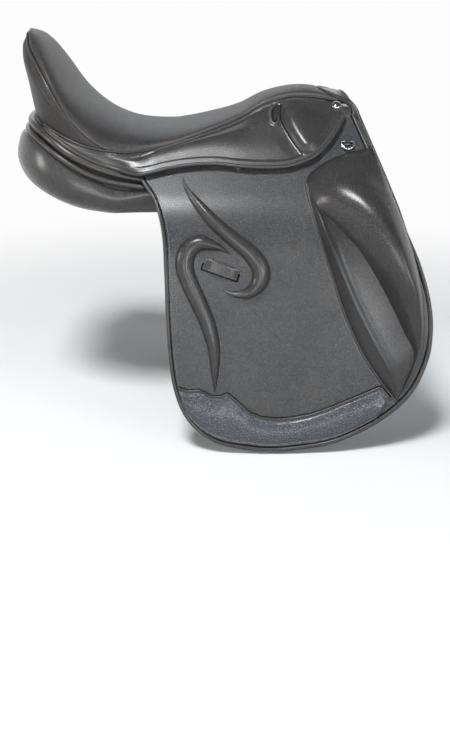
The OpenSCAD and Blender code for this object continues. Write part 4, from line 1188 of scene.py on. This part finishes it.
for side in SIDES:
    skirt = sheet_piece("skirt_skin_" + side, mirrored(skirt_grid, side), SKIRT_T, outward(side), bevel=1.2)
    # Fold gain 3 paints shade into the skirt's hollows and folds.
    mark_wear_and_shade(skirt, 1.5, 3)
    dress(skirt, CALF, stands_for=("skirt_" + side, "skirt_top_" + side))
    with_skirt(skirt, side)

    # Near-black cords paint the shade in the fold and inside the curl.
    for name, (line, r) in (("skirt_pleat_shade_", skirt_crease()), ("skirt_curl_shade_", skirt_hook())):
        obj = roll_piece(name + side, mirrored(line, side), r, 8)
        with_skirt(dress(obj, CREASE_SHADE), side)

    low = even(np.concatenate([skirt_grid[-1], skirt_grid[::-1, -1][1:]]), 240)
    bead = roll_piece("skirt_bead_" + side, mirrored(low + [0, 1.2, -0.6], side), 2.7)
    with_skirt(dress(mark_wear_and_shade(bead, 0.35), ROLLED), side)

    runs = [skirt_run(np.abs(skirt_left - 6), 0.15, side),
            skirt_run(np.abs(skirt_left[0] - skirt_left - 5.2), 0.1, side, 30)]
    row = stitches("skirt_stitching_" + side, runs, pitch=3.4, long=2.4, wide=0.75)
    with_skirt(dress(row, THREAD), side)


line = np.array([skirt_column(x)[0] for x in np.linspace(SKIRT_X0, SKIRT_X1 - 3, 200)])
line = line * [1, -1, 1] + [0, 0.7, 2.0]
line = even(np.concatenate([[line[0] + [-3, 5, -3]], line]), 240)
for side in SIDES:
    welt = roll_piece("seat_piping_" + side, mirrored(line, side), 1.45, 10)
    dress(mark_wear_and_shade(welt, 0.35), ROLLED, ROOT, ("seat_welt",) if side == "right" else ())


# Thigh blocks

# Edges of the block as (x, q); then, down the block, the place across (_T) and the height (_H) of its ridge,
# crease and main swell
BLOCK_REAR = [
    (196, 134), (201, 162), (214, 210), (232, 265), (250, 315), (274, 366), (301, 407), (325, 437)]
BLOCK_FRONT = [
    (287, 75), (304, 130), (326, 194), (346, 254), (353, 287), (356, 327), (349, 372), (329, 427)]
BLOCK_TOP = [(196, 134), (200, 121), (214, 107), (237, 93), (256, 86), (272, 81), (287, 75)]
MAIN_H = [
    (0, 0.02), (0.02, 0.13), (0.06, 0.3), (0.12, 0.52), (0.18, 0.7), (0.27, 0.88), (0.4, 1), (0.55, 0.95),
    (0.7, 0.72), (0.8, 0.45), (0.87, 0.24), (0.93, 0.15), (1, 0.01)]
MAIN_T = [
    (0, 0.42), (0.1, 0.44), (0.175, 0.49), (0.25, 0.613), (0.323, 0.735), (0.385, 0.805), (0.503, 0.855),
    (0.7, 0.89), (0.85, 0.95), (1, 0.98)]
RIDGE_H = [
    (0, 0.01), (0.12, 0.02), (0.19, 0.14), (0.26, 0.27), (0.4, 0.35), (0.6, 0.37), (0.75, 0.35),
    (0.88, 0.27), (0.96, 0.12), (1, 0.01)]
RIDGE_T = [
    (0, 0.03), (0.12, 0.04), (0.2, 0.075), (0.278, 0.095), (0.393, 0.13), (0.525, 0.163), (0.67, 0.215),
    (0.805, 0.27), (1, 0.36)]
CREASE_H = [
    (0, 0.01), (0.12, 0.02), (0.19, 0.1), (0.28, 0.18), (0.5, 0.2), (0.7, 0.19), (0.84, 0.17), (0.9, 0.14),
    (1, 0.01)]
CREASE_T = [
    (0, 0.05), (0.12, 0.06), (0.188, 0.103), (0.275, 0.27), (0.348, 0.398), (0.438, 0.49), (0.583, 0.585),
    (0.718, 0.69), (0.838, 0.88), (0.9, 0.93), (1, 0.96)]
BLOCK_H = 44.0
RIDGE_RISE = 3.2


def block_places(n=150):
    """Places (x, q) of the block's face and their heights: a ridge, a crease and the main swell."""
    v = np.linspace(0, 1, n)[:, None]
    tr, tc, tm = [curve(t, v) for t in (RIDGE_T, CREASE_T, MAIN_T)]
    hr, hc, hm = [BLOCK_H * curve(h, v) for h in (RIDGE_H, CREASE_H, MAIN_H)]
    f1, f2, f3 = [np.linspace(0, 1, steps)[None, :-1] for steps in (15, 17, 27)]
    f4 = np.linspace(0, 1, 31)[None]
    s = np.concatenate([tr * f1, mix(tr, tc, f2), mix(tc, tm, f3), mix(tm, 1.0, f4)], axis=1)
    h = np.concatenate([hr * (1 - (1 - f1) ** 1.7), mix(hr, hc, f2 ** 1.25),
                        mix(hc, hm, np.sin(f3 * math.pi / 2) ** 0.9),
                        hm * np.cos(f4 * math.pi / 2).clip(0) ** 0.8], axis=1)
    rear, front = along(BLOCK_REAR, v[:, 0])[:, None], along(BLOCK_FRONT, v[:, 0])[:, None]
    wide = np.linalg.norm(front - rear, axis=2)
    h = h + RIDGE_RISE * np.exp(-((s - tr) * wide / 6) ** 2) * np.sin(v * math.pi).clip(0) ** 0.6
    flat = mix(rear, front, s[..., None])
    cap = along(BLOCK_TOP, s) - mix(rear[0], front[0], s[..., None])
    flat = flat + cap * ((1 - v) ** 3)[..., None]
    h[0], h[-1] = 0, 0
    h[:, 0], h[:, -1] = 0, 0
    return flat, h


block_flat, block_h = block_places()
block_seam = along(BLOCK_REAR, np.linspace(0, 1, 120))
for side in SIDES:
    block = flap_pad("thigh_block_cover_", block_flat, block_h, 0.4, side, 40)
    # Rub gain 5 lightens the block's ridges as wear and painted sheen; fold gain 4 and the 2.5 mm band over
    # the flap paint shade in its crease and round its foot.
    mark_wear_and_shade(block, 5, 4, shade_band=2.5)
    dress(block, CALF, stands_for=("thigh_block_" + side,))
    with_flap(block, side)
    cord = flap_cord("block_piping_", block_seam, 0.9, 1.3, side)
    with_flap(dress(mark_wear_and_shade(cord, 0.2), ROLLED), side)
    row = stitches("block_stitching_" + side, [flap_run(inset(block_seam, -3.0), 0.2, side)], pitch=3.6,
                   long=2.7, wide=0.8)
    with_flap(dress(row, THREAD), side)


# Calf rolls, keeper and patch on the flap

# Middle lines of the rolls as (x, q, half width)
UPPER_ROLL = [
    (30, 124, 0.6), (34, 138, 2.6), (42, 152, 5), (54, 168, 7.5), (72, 189, 9), (98, 212, 10),
    (120, 230, 11.5), (134, 249, 12.5), (134, 268, 11.5), (121, 283, 8.5), (102, 286, 4.5), (84, 280, 0.6)]
LOWER_ROLL = [
    (93, 231, 0.6), (83, 225, 3.2), (70, 220, 6.8), (52, 217, 11), (37, 228, 12.5), (33, 249, 12.5),
    (40, 272, 12), (53, 301, 11.5), (65, 331, 10.5), (72, 363, 8.5), (73, 393, 5.5), (73, 410, 3),
    (72, 424, 0.6)]
ROLL_H = 9.0


def roll_places(line, n=130, m=25):
    """Places (x, q) across a roll and their heights."""
    p = along(line, np.linspace(0, 1, n))
    tangent = tangents(p[:, :2])
    normal = np.stack([-tangent[:, 1], tangent[:, 0]], axis=1)
    s = np.linspace(-1, 1, m)
    w = p[:, 2].clip(0.3)
    flat = p[:, None, :2] + normal[:, None] * (s[None, :, None] * w[:, None, None])
    high = ROLL_H * np.minimum(1, w / 9.5) ** 0.9
    h = high[:, None] * (1 - np.abs(s)[None] ** 1.9) ** 0.7
    h[0], h[-1] = 0, 0
    return flat, h


for side in SIDES:
    for part, line in (("upper_", UPPER_ROLL), ("lower_", LOWER_ROLL)):
        flat, h = roll_places(line)
        roll = flap_pad("calf_roll_pad_" + part, flat, h, 0.3, side, 60)
        # The 2.2 mm band over the flap paints shade round each roll's foot.
        dress(mark_wear_and_shade(roll, 1.2, shade_band=2.2), CALF, "flap_body_" + side,
              ("calf_roll_" + part + side,))

PATCH_TOP = [
    (21, 416), (36, 421), (52, 420), (69, 429), (82, 429), (90, 424), (104, 437), (120, 452), (136, 459),
    (158, 462), (182, 460), (206, 455), (234, 445), (275, 427), (302, 415), (316, 432)]
PATCH_CROWN = 5.0


def flap_low_q(x, n=400):
    """Lower edge of the flap under a place along it."""
    qs = np.linspace(330, FLAP_END, n)
    x = np.asarray(x)[:, None]
    inside = (flap_rear(qs)[None] <= x) & (flap_front(qs)[None] >= x)
    return np.array([qs[np.nonzero(r)[0][-1]] for r in inside])


def patch_places(n=170, m=44):
    """Places (x, q) of the patch, their heights, and its upper edge."""
    crest = even(PATCH_TOP, n)
    crest = np.stack([np.convolve(np.pad(crest[:, k], 2, "edge"), [0.1, 0.2, 0.4, 0.2, 0.1], "valid")
                      for k in (0, 1)], axis=1)
    low_x = mix(crest[0, 0] + 3.5, 300.0, np.linspace(0, 1, n))
    low_q = flap_low_q(low_x) - 4.5
    low = np.stack([low_x, np.maximum(low_q, crest[:, 1] + 2)], axis=1)
    low[-1] = crest[-1] + [-2, 2]
    v = np.linspace(0, 1, m)[:, None, None]
    flat = mix(crest[None], low[None], v)
    run = np.linalg.norm(low - crest, axis=1)[None]
    down = v[..., 0] * run
    h = 1.7 * ease(0, 1.8, down) * ease(0, 2.2, run - down)
    h = h - 0.9 * np.exp(-((down - 5.0) / 1.3) ** 2) - 0.8 * np.exp(-((run - down - 4.0) / 1.3) ** 2)
    h = h + PATCH_CROWN * np.sin(np.clip((down - 6) / np.maximum(run - 11, 1), 0, 1) * math.pi)
    h = h * ease(0, 0.02, np.linspace(0, 1, n))[None] * ease(0, 0.02, np.linspace(1, 0, n))[None]
    h[0], h[-1], h[:, 0], h[:, -1] = 0, 0, 0, 0
    return flat, h, crest


flat, h, crest = patch_places()
for side in SIDES:
    body = "flap_body_" + side
    patch = flap_pad("patch_skin_", flat, h, 0.35, side, 60)
    # The near-black cord just above the piping is painted shade along the patch's upper lip.
    for name, path, d, r, finish in (("patch_piping_", crest[1:-1] + [0, 0.9], 1.3, 1.9, ROLLED),
                                     ("patch_edge_shade_", inset(crest[1:-1], 1.1), 0.0, 0.9, CREASE_SHADE)):
        line = even(on_flap(path[:, 0], path[:, 1], d), 220)
        lip = roll_piece(name + side, mirrored(line, side), r, 8)
        dress(mark_wear_and_shade(lip, 0.3), finish, body)
    # The 1 mm band over the flap paints shade along the patch's edges.
    dress(mark_wear_and_shade(patch, 1, shade_band=1.0), PATCH, body, ("flap_patch_" + side,))
    runs = [flap_run(inset(crest[2:-2], -5.0), 1.25, side),
            flap_run(inset(flat[-1][3:-3], 4.0), 1.3, side)]
    row = stitches("patch_stitching_" + side, runs, pitch=3.8, long=2.9, wide=0.9)
    dress(row, THREAD, body)


# Middle (x, q), tilt, half length and half width of the keeper
KEEPER_AT = (82, 252)
KEEPER_TILT = math.radians(19.5)
KEEPER_LONG, KEEPER_WIDE = 24.0, 8.0


def at_keeper(a, b):
    """Place (x, q) at a distance along the keeper and across it."""
    x = KEEPER_AT[0] + a * math.cos(KEEPER_TILT) - b * math.sin(KEEPER_TILT)
    q = KEEPER_AT[1] + a * math.sin(KEEPER_TILT) + b * math.cos(KEEPER_TILT)
    return np.stack([x, q], axis=-1)


def keeper_places(n=41, m=17):
    """Short strap over the meeting of the rolls, arched between its sewn ends."""
    a = np.linspace(-KEEPER_LONG, KEEPER_LONG, n)
    a, b = np.meshgrid(a, np.linspace(-KEEPER_WIDE, KEEPER_WIDE, m))
    h = 1.0 + 4.2 * (1 - np.abs(a / KEEPER_LONG) ** 3.5)
    h = h - 0.7 * (1 - ease(0, 2.2, KEEPER_WIDE - np.abs(b)))
    return at_keeper(a, b), h


flat, h = keeper_places()
for side in SIDES:
    body = "flap_body_" + side
    face = mirrored(on_flap(flat[..., 0], flat[..., 1], h + 0.6), side)
    keeper = sheet_piece("keeper_strap_" + side, face, 1.7, outward(side), 0.5)
    dress(mark_wear_and_shade(keeper, 1), CALF, body, ("leather_keeper_" + side,))
    # Near-black cord round the keeper's ends and one long side: painted shadow of the keeper on the flap.
    loop = even([(-1, 25.4), (8.9, 25.4), (8.9, -25.4), (1, -25.4)], 80)
    keeper_shadow = flap_cord("keeper_shadow_", at_keeper(loop[:, 1], loop[:, 0]), -0.2, 1.3, side)
    dress(keeper_shadow, CREASE_SHADE, body)
    row = stitches("keeper_stitching_" + side, [flap_run(flat[k], h[k] + 0.85, side) for k in (2, -3)],
                   pitch=3.8, long=2.6, wide=1.1)
    dress(row, THREAD, body)


# Panels

BACK_TOP_Z = [
    (-208, 104), (-195, 105), (-177, 99), (-152, 88), (-125, 74), (-99, 60), (-74, 48), (-48, 41),
    (-14, 38)]
LOW_Z = [(-116, 4), (-80, 0), (120, 0), (200, 4), (288, 18)]
BACK_LOW = [(-208, 26), (-190, 21), (-174, 17), (-147, 10), (-116, 4), (-80, 0)]
IN_LOW = [(-208, 66), (-170, 30), (-120, 16), (60, 16), (130, 55), (200, 92), (240, 96), (288, 60)]
LOW_Q_END = [(-14, 140), (60, 142), (150, 165), (240, 185), (264, 182), (288, 170)]
FRONT_TOP_Q = [(236, 14), (252, 38), (264, 68), (276, 98), (288, 128)]
PANEL_X = [-72, -60, -38, -14, 20, 40, 60, 80, 100, 122, 146, 180, 216, 228, 240, 252, 264, 276, 288]
PANEL_REACH = CANTLE_REACH + 16
PANEL_HALF = SEAT_HALF + 10


def tree_w(x):
    a = seat_w(x) - 11
    lim = flat_s(tree_top(x)) - (WEB_D + WEB_T) / math.cos(UPPER_LEAN) - 1
    return mix(a, np.minimum(a, lim), ease(-90, -40, x))


def panel_top(x):
    return np.minimum(tree_low(x) - 0.8, mix(98, 118, ease(60, 125, x)))


def out_and_up(q, d):
    p = on_flap(0, q, d)
    return np.array([-p[1], p[2]])


def panel_ring(x):
    """A cut across the panel, from its inner top round its outside and underside."""
    s_in = CHANNEL_HALF + 2 * ease(60, 200, x) + 70 * ease(236, 288, x)
    sunk = ease(100, 122, x) - ease(216, 228, x)
    d_top = -PANEL_D - (LEG_D0 - PANEL_D + 1) * sunk
    q0 = max(14, curve(FRONT_TOP_Q, x) if x > 236 else flat_q(panel_top(x), d_top))
    q1 = curve(LOW_Q_END, x)
    sw = [out_and_up(q, d_top if q < 104 else -PANEL_D) for q in mix(q0, q1, np.linspace(0, 1, 5))]
    z_to = curve(BACK_TOP_Z, x)
    s_to = back_w(x, PANEL_REACH, PANEL_HALF)
    z_in = min(panel_top(x), z_to + 40)
    low = curve(LOW_Z, x)
    z_o = mix(z_to, low, 0.5) + 3
    rw = [(min(tree_w(x) - 4, s_to - 24), z_in), (s_to - 13, mix(z_in, z_to, 0.7)),
          (s_to - 3, z_to), (s_to + 4, z_o + 4), (s_to + 2, z_o - 8)]
    k = ease(-70, -16, x)
    out = [mix(np.array(a, float), b, k) for a, b in zip(rw, sw)]
    sb = mix(out[4][0] - 42, out[4][0] - 34, ease(100, 240, x))
    zi = curve(IN_LOW, x)
    top_in = sw[0][1] - 8 if x > 236 else min(z_in, panel_top(x))
    first = np.array([s_in, min(top_in, out[0][1])], float)
    ring = [first, mix(first, out[0], 0.5)] + out
    for a in (30, 60):
        c, s = math.cos(math.radians(a)), math.sin(math.radians(a))
        ring.append(np.array([mix(sb, out[4][0], c), mix(out[4][1], low, s)]))
    ring += [np.array([sb, low]), np.array([mix(sb, s_in, 0.45), mix(low, zi, 0.3)]),
             np.array([mix(sb, s_in, 0.85), mix(low, zi, 0.72)]), np.array([s_in, zi + 4])]
    ring = np.array(ring + ring[:1], float)
    return np.stack([np.full(len(ring), x), -ring[:, 0], ring[:, 1]], axis=1)


def back_ring(x, s, nx, ns):
    """A cut through the panel square to the curve of its back; (nx, ns) points outward."""
    z_to, low = curve(BACK_TOP_Z, x) + 5 * ease(-100, -190, x), curve(BACK_LOW, x)
    z_o = mix(z_to, low, 0.5) + 3
    z_in = min(panel_top(max(x, -188)), z_to + 40)
    deep = mix(s - CHANNEL_HALF, 66, ease(-100, -200, x))
    swell = 4 * ease(-100, -180, x)
    zi = curve(IN_LOW, max(x, -170)) + 10 * ease(-100, -185, x)
    cut = [(-deep, z_in), (mix(-deep, -24, 0.5), z_in), (-24, z_in), (-13, mix(z_in, z_to, 0.7)),
           (-2, z_to), (4 + swell, z_o + 6), (2 + swell, z_o - 9)]
    for a in (30, 60):
        c, k = math.cos(math.radians(a)), math.sin(math.radians(a))
        cut.append((mix(-46, 2 + swell, c), mix(z_o - 9, low, k)))
    cut += [(-46, low), (mix(-46, -deep, 0.45), mix(low, zi, 0.3)),
            (mix(-46, -deep, 0.85), mix(low, zi, 0.72)), (-deep, zi + 4), (-deep, z_in)]
    cut = np.array(cut, float)
    out = np.maximum(s + ns * cut[:, 0], CHANNEL_HALF)
    return np.stack([x + nx * cut[:, 0], -out, cut[:, 1]], axis=1)


def back_x(a, reach):
    """Places along the curve of the back, by the angle from its middle."""
    c = CANTLE_REACH / 2
    return -c - (reach - c) * np.cos(a) ** 0.87


def panel_rows():
    """Cuts from the tip of the panel at the back, round its curve, to the nose at the front."""
    rows = [panel_ring(x) for x in PANEL_X]
    for x in (-85, -95):
        rows.insert(0, back_ring(x, PANEL_HALF, 0.0, 1.0))
    for x in back_x(np.radians([82, 74, 66, 58, 50, 42, 34, 26, 19, 13]), PANEL_REACH):
        s, s1 = [float(back_w(at, PANEL_REACH, PANEL_HALF)) for at in (x, x + 0.2)]
        n = np.array([-(s1 - s), 0.2]) / math.hypot(s1 - s, 0.2)
        rows.insert(0, back_ring(x, s, n[0], n[1]))
    first, last = rows[0], rows[-1]
    tip = first.mean(axis=0)
    tip[1] = -CHANNEL_HALF + 1
    nose = last.mean(axis=0) + [2, 0, 0]
    return np.array([np.tile(tip, (len(first), 1)), mix(tip, first, 0.6) + [0, 1, 0],
                     mix(tip, first, 0.9), *rows, mix(nose, last, 0.6), np.tile(nose, (len(last), 1))])


for side in SIDES:
    panel = cloth_grid("panel_skin_" + side, mirrored(panel_rows(), side))
    weld(panel)
    finish_with(panel, "SUBSURF", levels=2, render_levels=2)
    smooth(panel, 80)
    dress(mark_wear_and_shade(panel, 3), LINING, ROOT, ("panel_" + side,))


# Rolls round the back

BAND_Z = [(-194, 122), (-170, 116), (-153, 106), (-126, 88), (-94, 72), (-62, 61), (-28, 54), (-10, 52)]
SMALL_Z = [(-199, 110), (-176, 106), (-159, 97), (-132, 80), (-99, 62), (-67, 51), (-23, 44), (-8, 42)]


def across(half, n):
    """A line on the right carried over the middle to the left, at even steps."""
    return even(np.concatenate([half, mirrored(half, "left")[::-1][1:]]), n)


def back_line(reach, w, heights):
    """Line round the back of the saddle from the right side to the left."""
    side = np.array([(x, -w) for x in np.linspace(-24, -94, 30)])
    x = back_x(np.radians(np.linspace(88, 0, 60)), reach)
    half = np.concatenate([side, np.stack([x, -back_w(x, reach, w)], axis=1)])
    return across(np.concatenate([half, curve(heights, half[:, 0])[:, None]], axis=1), 240)


for name, node, reach, w, heights, r, fill in (
        ("rear_band_cover", "rear_band", CANTLE_REACH - 2.5, SEAT_HALF + 4.6, BAND_Z, 5.9, 0.9),
        ("rear_welt_cover", "rear_welt", CANTLE_REACH + 4.5, SEAT_HALF + 11, SMALL_Z, 3.6, None)):
    obj = roll_piece(name, back_line(reach, w, heights), r, 16)
    dress(mark_wear_and_shade(obj, 0.4), ROLLED, ROOT, (node,))

upper = back_line(CANTLE_REACH - 8, SEAT_HALF - 2, [(x, z + 7) for x, z in BAND_Z])
lower = back_line(CANTLE_REACH + 6, SEAT_HALF + 8, [(x, z - 8) for x, z in SMALL_Z])
rows = np.array([mix(upper, lower, v) for v in np.linspace(0, 1, 9)])
gusset = sheet_piece("rear_gusset", rows, 1.6, (-1, 0, 0), bevel=0)
dress(mark_wear_and_shade(gusset), LINING, ROOT)


# Webs, billets, lining and the front arch

BILLET_X = {"rear": FLAP_SET + 38, "front": FLAP_SET + 78}
STRAP_WIDE = 25.0
WEB_END_Q = 258
WEB_LONG = 230


def web_line(x):
    """Middle line of a girth web, from the tree over its edge and down, as (out, height)."""
    w, z = float(tree_w(x)), float(tree_top(x)) + 0.4 + WEB_T / 2
    line = [(w - 24, z), (w + 1.5, z), (w + 4.5, z - 2.5), (w + 18, z - 10)]
    qs = [flat_q(z - 24, -WEB_D), 100, 125, 150, 175, 200, 225, LOW_Q, WEB_END_Q]
    return np.array(line + [tuple(out_and_up(q, -WEB_D)) for q in qs])


def web_rows(xc, n=70, m=9):
    """Outer face of a girth web about its middle."""
    cols = []
    for x in np.linspace(xc - STRAP_WIDE / 2, xc + STRAP_WIDE / 2, m):
        line = even(web_line(x), n)
        t = tangents(line)
        line = line + np.stack([-t[:, 1], t[:, 0]], axis=1) * (WEB_T / 2)
        cols.append(np.stack([np.full(n, x), -line[:, 0], line[:, 1]], axis=1))
    return np.array(cols).transpose(1, 0, 2)


for side in SIDES:
    for part, xc in BILLET_X.items():
        label = part + "_" + side
        face = mirrored(web_rows(xc), side)
        web = sheet_piece("girth_web_strap_" + label, face, WEB_T, outward(side), bevel=0)
        strap_map(web, STRAP_WIDE, WEB_LONG)
        dress(web, WEBBING, ROOT, ("girth_web_" + label,))

        body = "billet_%s_body_%s" % (part, side)
        billet = copy_of_node("billet_strap_" + label, "billet_" + label)
        dress(mark_wear_and_shade(billet), CALF, body, ("billet_" + label,))
        q = np.linspace(264, 430, 60)
        runs = [flap_run(np.stack([np.full(60, xc + dx), q], axis=1), -BILLET_TOP + 0.1, side)
                for dx in (-9.6, 9.6)]
        row = stitches("billet_stitching_" + label, runs, pitch=4.4)
        dress(row, THREAD, body)


TREE_X = np.linspace(-CANTLE_REACH + 20, HEAD_X, 27)


def tree_band(name, half, rise, thick):
    """A band along the tree at a height over its underside."""
    xs = np.linspace(TREE_X[1], TREE_X[-2], 90)
    x, y = np.meshgrid(xs, np.linspace(-half, half, 9), indexing="ij")
    z = np.broadcast_to((tree_low(xs) + rise)[:, None], x.shape)
    obj = sheet_piece(name, np.stack([x, y, z], axis=-1), thick, (0, 0, 1), bevel=0)
    strap_map(obj, 2 * half, TREE_X[-2] - TREE_X[1])
    return obj


lining = tree_band("channel_lining_skin", 20, -0.4, 1.6)
dress(mark_wear_and_shade(lining), LINING, ROOT, ("channel_lining",))
seat_strap = tree_band("seat_web_strap", 19, TREE_T + 0.4 + WEB_T, WEB_T)
dress(seat_strap, WEBBING, ROOT, ("seat_web",))
arch = copy_of_node("pommel_arch", "pommel_facing", 0.8)
dress(mark_wear_and_shade(arch), CALF, ROOT, ("pommel_facing",))

GORE_X = 214
NAIL_R = 6.9
NAIL_RISE = 3.4
NAIL_BACK = 1.2
NAIL_TILT = math.radians(35)
NAIL_PLACE = (241.5, -58, 142)


def gore_rows(n=24):
    """Leather between the seat's front edge and the top of the flap, on the right."""
    xs = np.linspace(GORE_X, 256, n)
    upper = np.stack([xs, -seat_w(xs) - 1, rim(xs) - 3], axis=1)
    front = np.linspace(GORE_X, ROOT_X1 - 2, n)
    edge, lower = [on_flap(front, np.full(n, q), -1.8) for q in (ROOT_Q + 0.5, 34)]
    return np.array([mix(upper, edge, v) for v in np.linspace(0, 1, 7)]
                    + [mix(edge, lower, v) for v in (0.3, 0.7, 1)])


def nail_head(side):
    """A flattened dome with a cut back, tilted to lie on the skirt."""
    deselect()
    bpy.ops.mesh.primitive_uv_sphere_add(segments=32, ring_count=16, radius=1)
    obj = bpy.context.active_object
    obj.name = "nail_head_" + side
    co = np.array([v.co for v in obj.data.vertices]) * [NAIL_R, NAIL_R, NAIL_RISE]
    co[:, 2] = np.maximum(co[:, 2], -NAIL_BACK)
    y = co[:, 1] * math.cos(NAIL_TILT) - co[:, 2] * math.sin(NAIL_TILT)
    z = co[:, 1] * math.sin(NAIL_TILT) + co[:, 2] * math.cos(NAIL_TILT)
    co = mirrored(np.stack([co[:, 0], y, z], axis=1) + NAIL_PLACE, side)
    obj.data.vertices.foreach_set("co", (co * MM).ravel())
    if side == "left":
        obj.data.flip_normals()
    return smooth(obj, 60)


for side in SIDES:
    gore = sheet_piece("front_gore_" + side, mirrored(gore_rows(), side), 1.6, (0, 0, 1), bevel=0)
    dress(mark_wear_and_shade(gore), LINING, ROOT)
    dress(nail_head(side), CHROME, ROOT, ("skirt_nail_" + side,))


def over_pommel(points):
    """A line from the right front edge over the pommel to the left."""
    return across(along(points, np.linspace(0, 1, 60)), 150)


def on_seat(x, y, d):
    """Place at a height d over the seat's face."""
    across = math.sqrt(1 - (y / float(seat_w(x))) ** 2)
    return x, y, float(rim(x) + (seat_top(x) - rim(x)) * across ** SEAT_CROWN) + d


inner_end = on_flap(np.array([265.0, ROOT_X1]), np.array([24.0, 12.0]), -1.9)
inner = over_pommel([*inner_end, (256, -48.5, 145), (246, -37.5, 148.4), (238.5, -29.5, 152.3),
                     on_seat(230.5, -21.5, 0), on_seat(223.5, -12.5, -0.4), on_seat(220, -4.5, -0.6),
                     on_seat(219.6, 0, -0.6)])
outer_end = on_flap(np.array([275.5, 271.0]), np.array([30.0, 12.0]), -SWEAT_TOP - 1.5)
outer = over_pommel([*outer_end, (265.5, -45.5, 141.5), (257.5, -35, 148.6), (251, -18, 151),
                     (249, 0, 152.2)])
rows = np.array([mix(inner, outer, v) + [0, 0, 1.6 * math.sin(math.pi * v)] for v in np.linspace(0, 1, 9)])
strip = sheet_piece("pommel_strip", rows, 1.8, (0.3, 0, 1), bevel=0)
dress(mark_wear_and_shade(strip), CALF, ROOT)
for name, line, r in (("pommel_inner_welt", inner, 2.2), ("pommel_outer_welt", outer, 2.3)):
    dress(mark_wear_and_shade(roll_piece(name, line, r, 10), 0.3), ROLLED, ROOT)

# Seam across the flap at the top of the block, as (x, q)
top_seam = np.linspace((252, 84), (286, 84 - (286 - 252) * 0.12), 24)
for side in SIDES:
    obj = flap_cord("block_top_seam_", top_seam, 0.3, 1.1, side)
    with_flap(dress(mark_wear_and_shade(obj, 0.3), ROLLED), side)


# Finishes of the pieces that keep the frame's shape

cover(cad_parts["tree"], WOOD)
for node in ("gullet_plate", "gullet_rivets", "bar_rivets"):
    cover(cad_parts[node], FORGED)
for side in SIDES:
    for node in ("stirrup_bar_", "bar_catch_"):
        cover(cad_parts[node + side], FORGED)
    for node in ("dee_", "dee_staple_"):
        cover(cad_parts[node + side], CHROME)


# Floor and light

def floor_finish():
    """Pale to the eye and in reflections, white far off, and dim in the light that it throws back."""
    material, out, place = bare_material("pale_floor")
    camera_ray, glossy, through = [place.node("LightPath", {}, {}, "Is %s Ray" % kind)
                                   for kind in ("Camera", "Glossy", "Transmission")]
    look = camera_ray + glossy + through
    away = place.node("VectorMath", {"operation": "DISTANCE"}, {0: place, 1: (0.08, 0, 0)}, 1)
    dim = place.node("BsdfDiffuse", {}, {"Color": rgb(0.3, 0.28, 0.26)})
    near = place.node("BsdfDiffuse", {}, {"Color": rgb(0.84, 0.84, 0.84)})
    far = place.node("Emission", {}, {"Color": rgb(0.98, 0.98, 0.98), "Strength": 1.0})
    pale = place.node("MixShader", {}, {0: away.between(0.35, 1.2), 1: near, 2: far})
    place.put(out, place.node("MixShader", {}, {0: look.node("Clamp", {}, {0: look}), 1: dim, 2: pale}))
    return material


deselect()
bpy.ops.mesh.primitive_plane_add(size=FLOOR_SIZE, location=(0, 0, FLOOR_Z))
floor = bpy.context.active_object
floor.name = "floor"
floor.data.materials.append(floor_finish())
bpy.ops.mesh.primitive_cylinder_add(vertices=128, radius=BACKDROP_R, depth=BACKDROP_HIGH,
                                    end_fill_type="NOTHING",
                                    location=(0, 0, FLOOR_Z + BACKDROP_HIGH / 2))
backdrop = bpy.context.active_object
backdrop.name = "backdrop"
backdrop.data.materials.append(floor.data.materials[0])


def softbox(name, place, aim, size, watts, tint):
    """A soft lamp at a place, turned to what it lights."""
    data = bpy.data.lights.new(name, "AREA")
    data.shape = "RECTANGLE"
    data.size, data.size_y = size
    data.energy = watts
    data.color = tint
    obj = bpy.data.objects.new(name, data)
    bpy.context.scene.collection.objects.link(obj)
    obj.location = place
    obj.rotation_euler = (Vector(aim) - Vector(place)).to_track_quat("-Z", "Y").to_euler()


softbox("key_light", (-0.4, -1.35, 2.3), (0.06, 0, -0.05), (0.6, 0.6), 80, (0.97, 0.985, 1))
softbox("front_light", (-0.3, -2.3, 0.0), (0.1, 0, -0.1), (0.8, 0.8), 12, (0.95, 0.98, 1))
softbox("right_light", (0.95, -2.1, -0.05), (0.2, 0, -0.12), (0.6, 0.5), 12, (0.95, 0.98, 1))
softbox("window_light", (1.75, -1.75, 0.6), (0.12, 0, 0), (0.5, 1.2), 13, (0.82, 0.91, 1))
softbox("left_light", (-2.2, -0.75, 0.5), (-0.15, 0, 0.05), (0.6, 0.6), 16, (1, 0.98, 0.95))
softbox("back_light", (0.2, 2.8, 1.5), (0, 0, 0.1), (4.0, 1.6), 20, (0.92, 0.96, 1))

world = bpy.data.worlds.new("studio")
bpy.context.scene.world = world
world.use_nodes = True
sky = world.node_tree.nodes["Background"]
sky.inputs["Color"].default_value = rgb(0.9, 0.95, 1)
sky.inputs["Strength"].default_value = 0.1

bpy.context.view_layer.update()
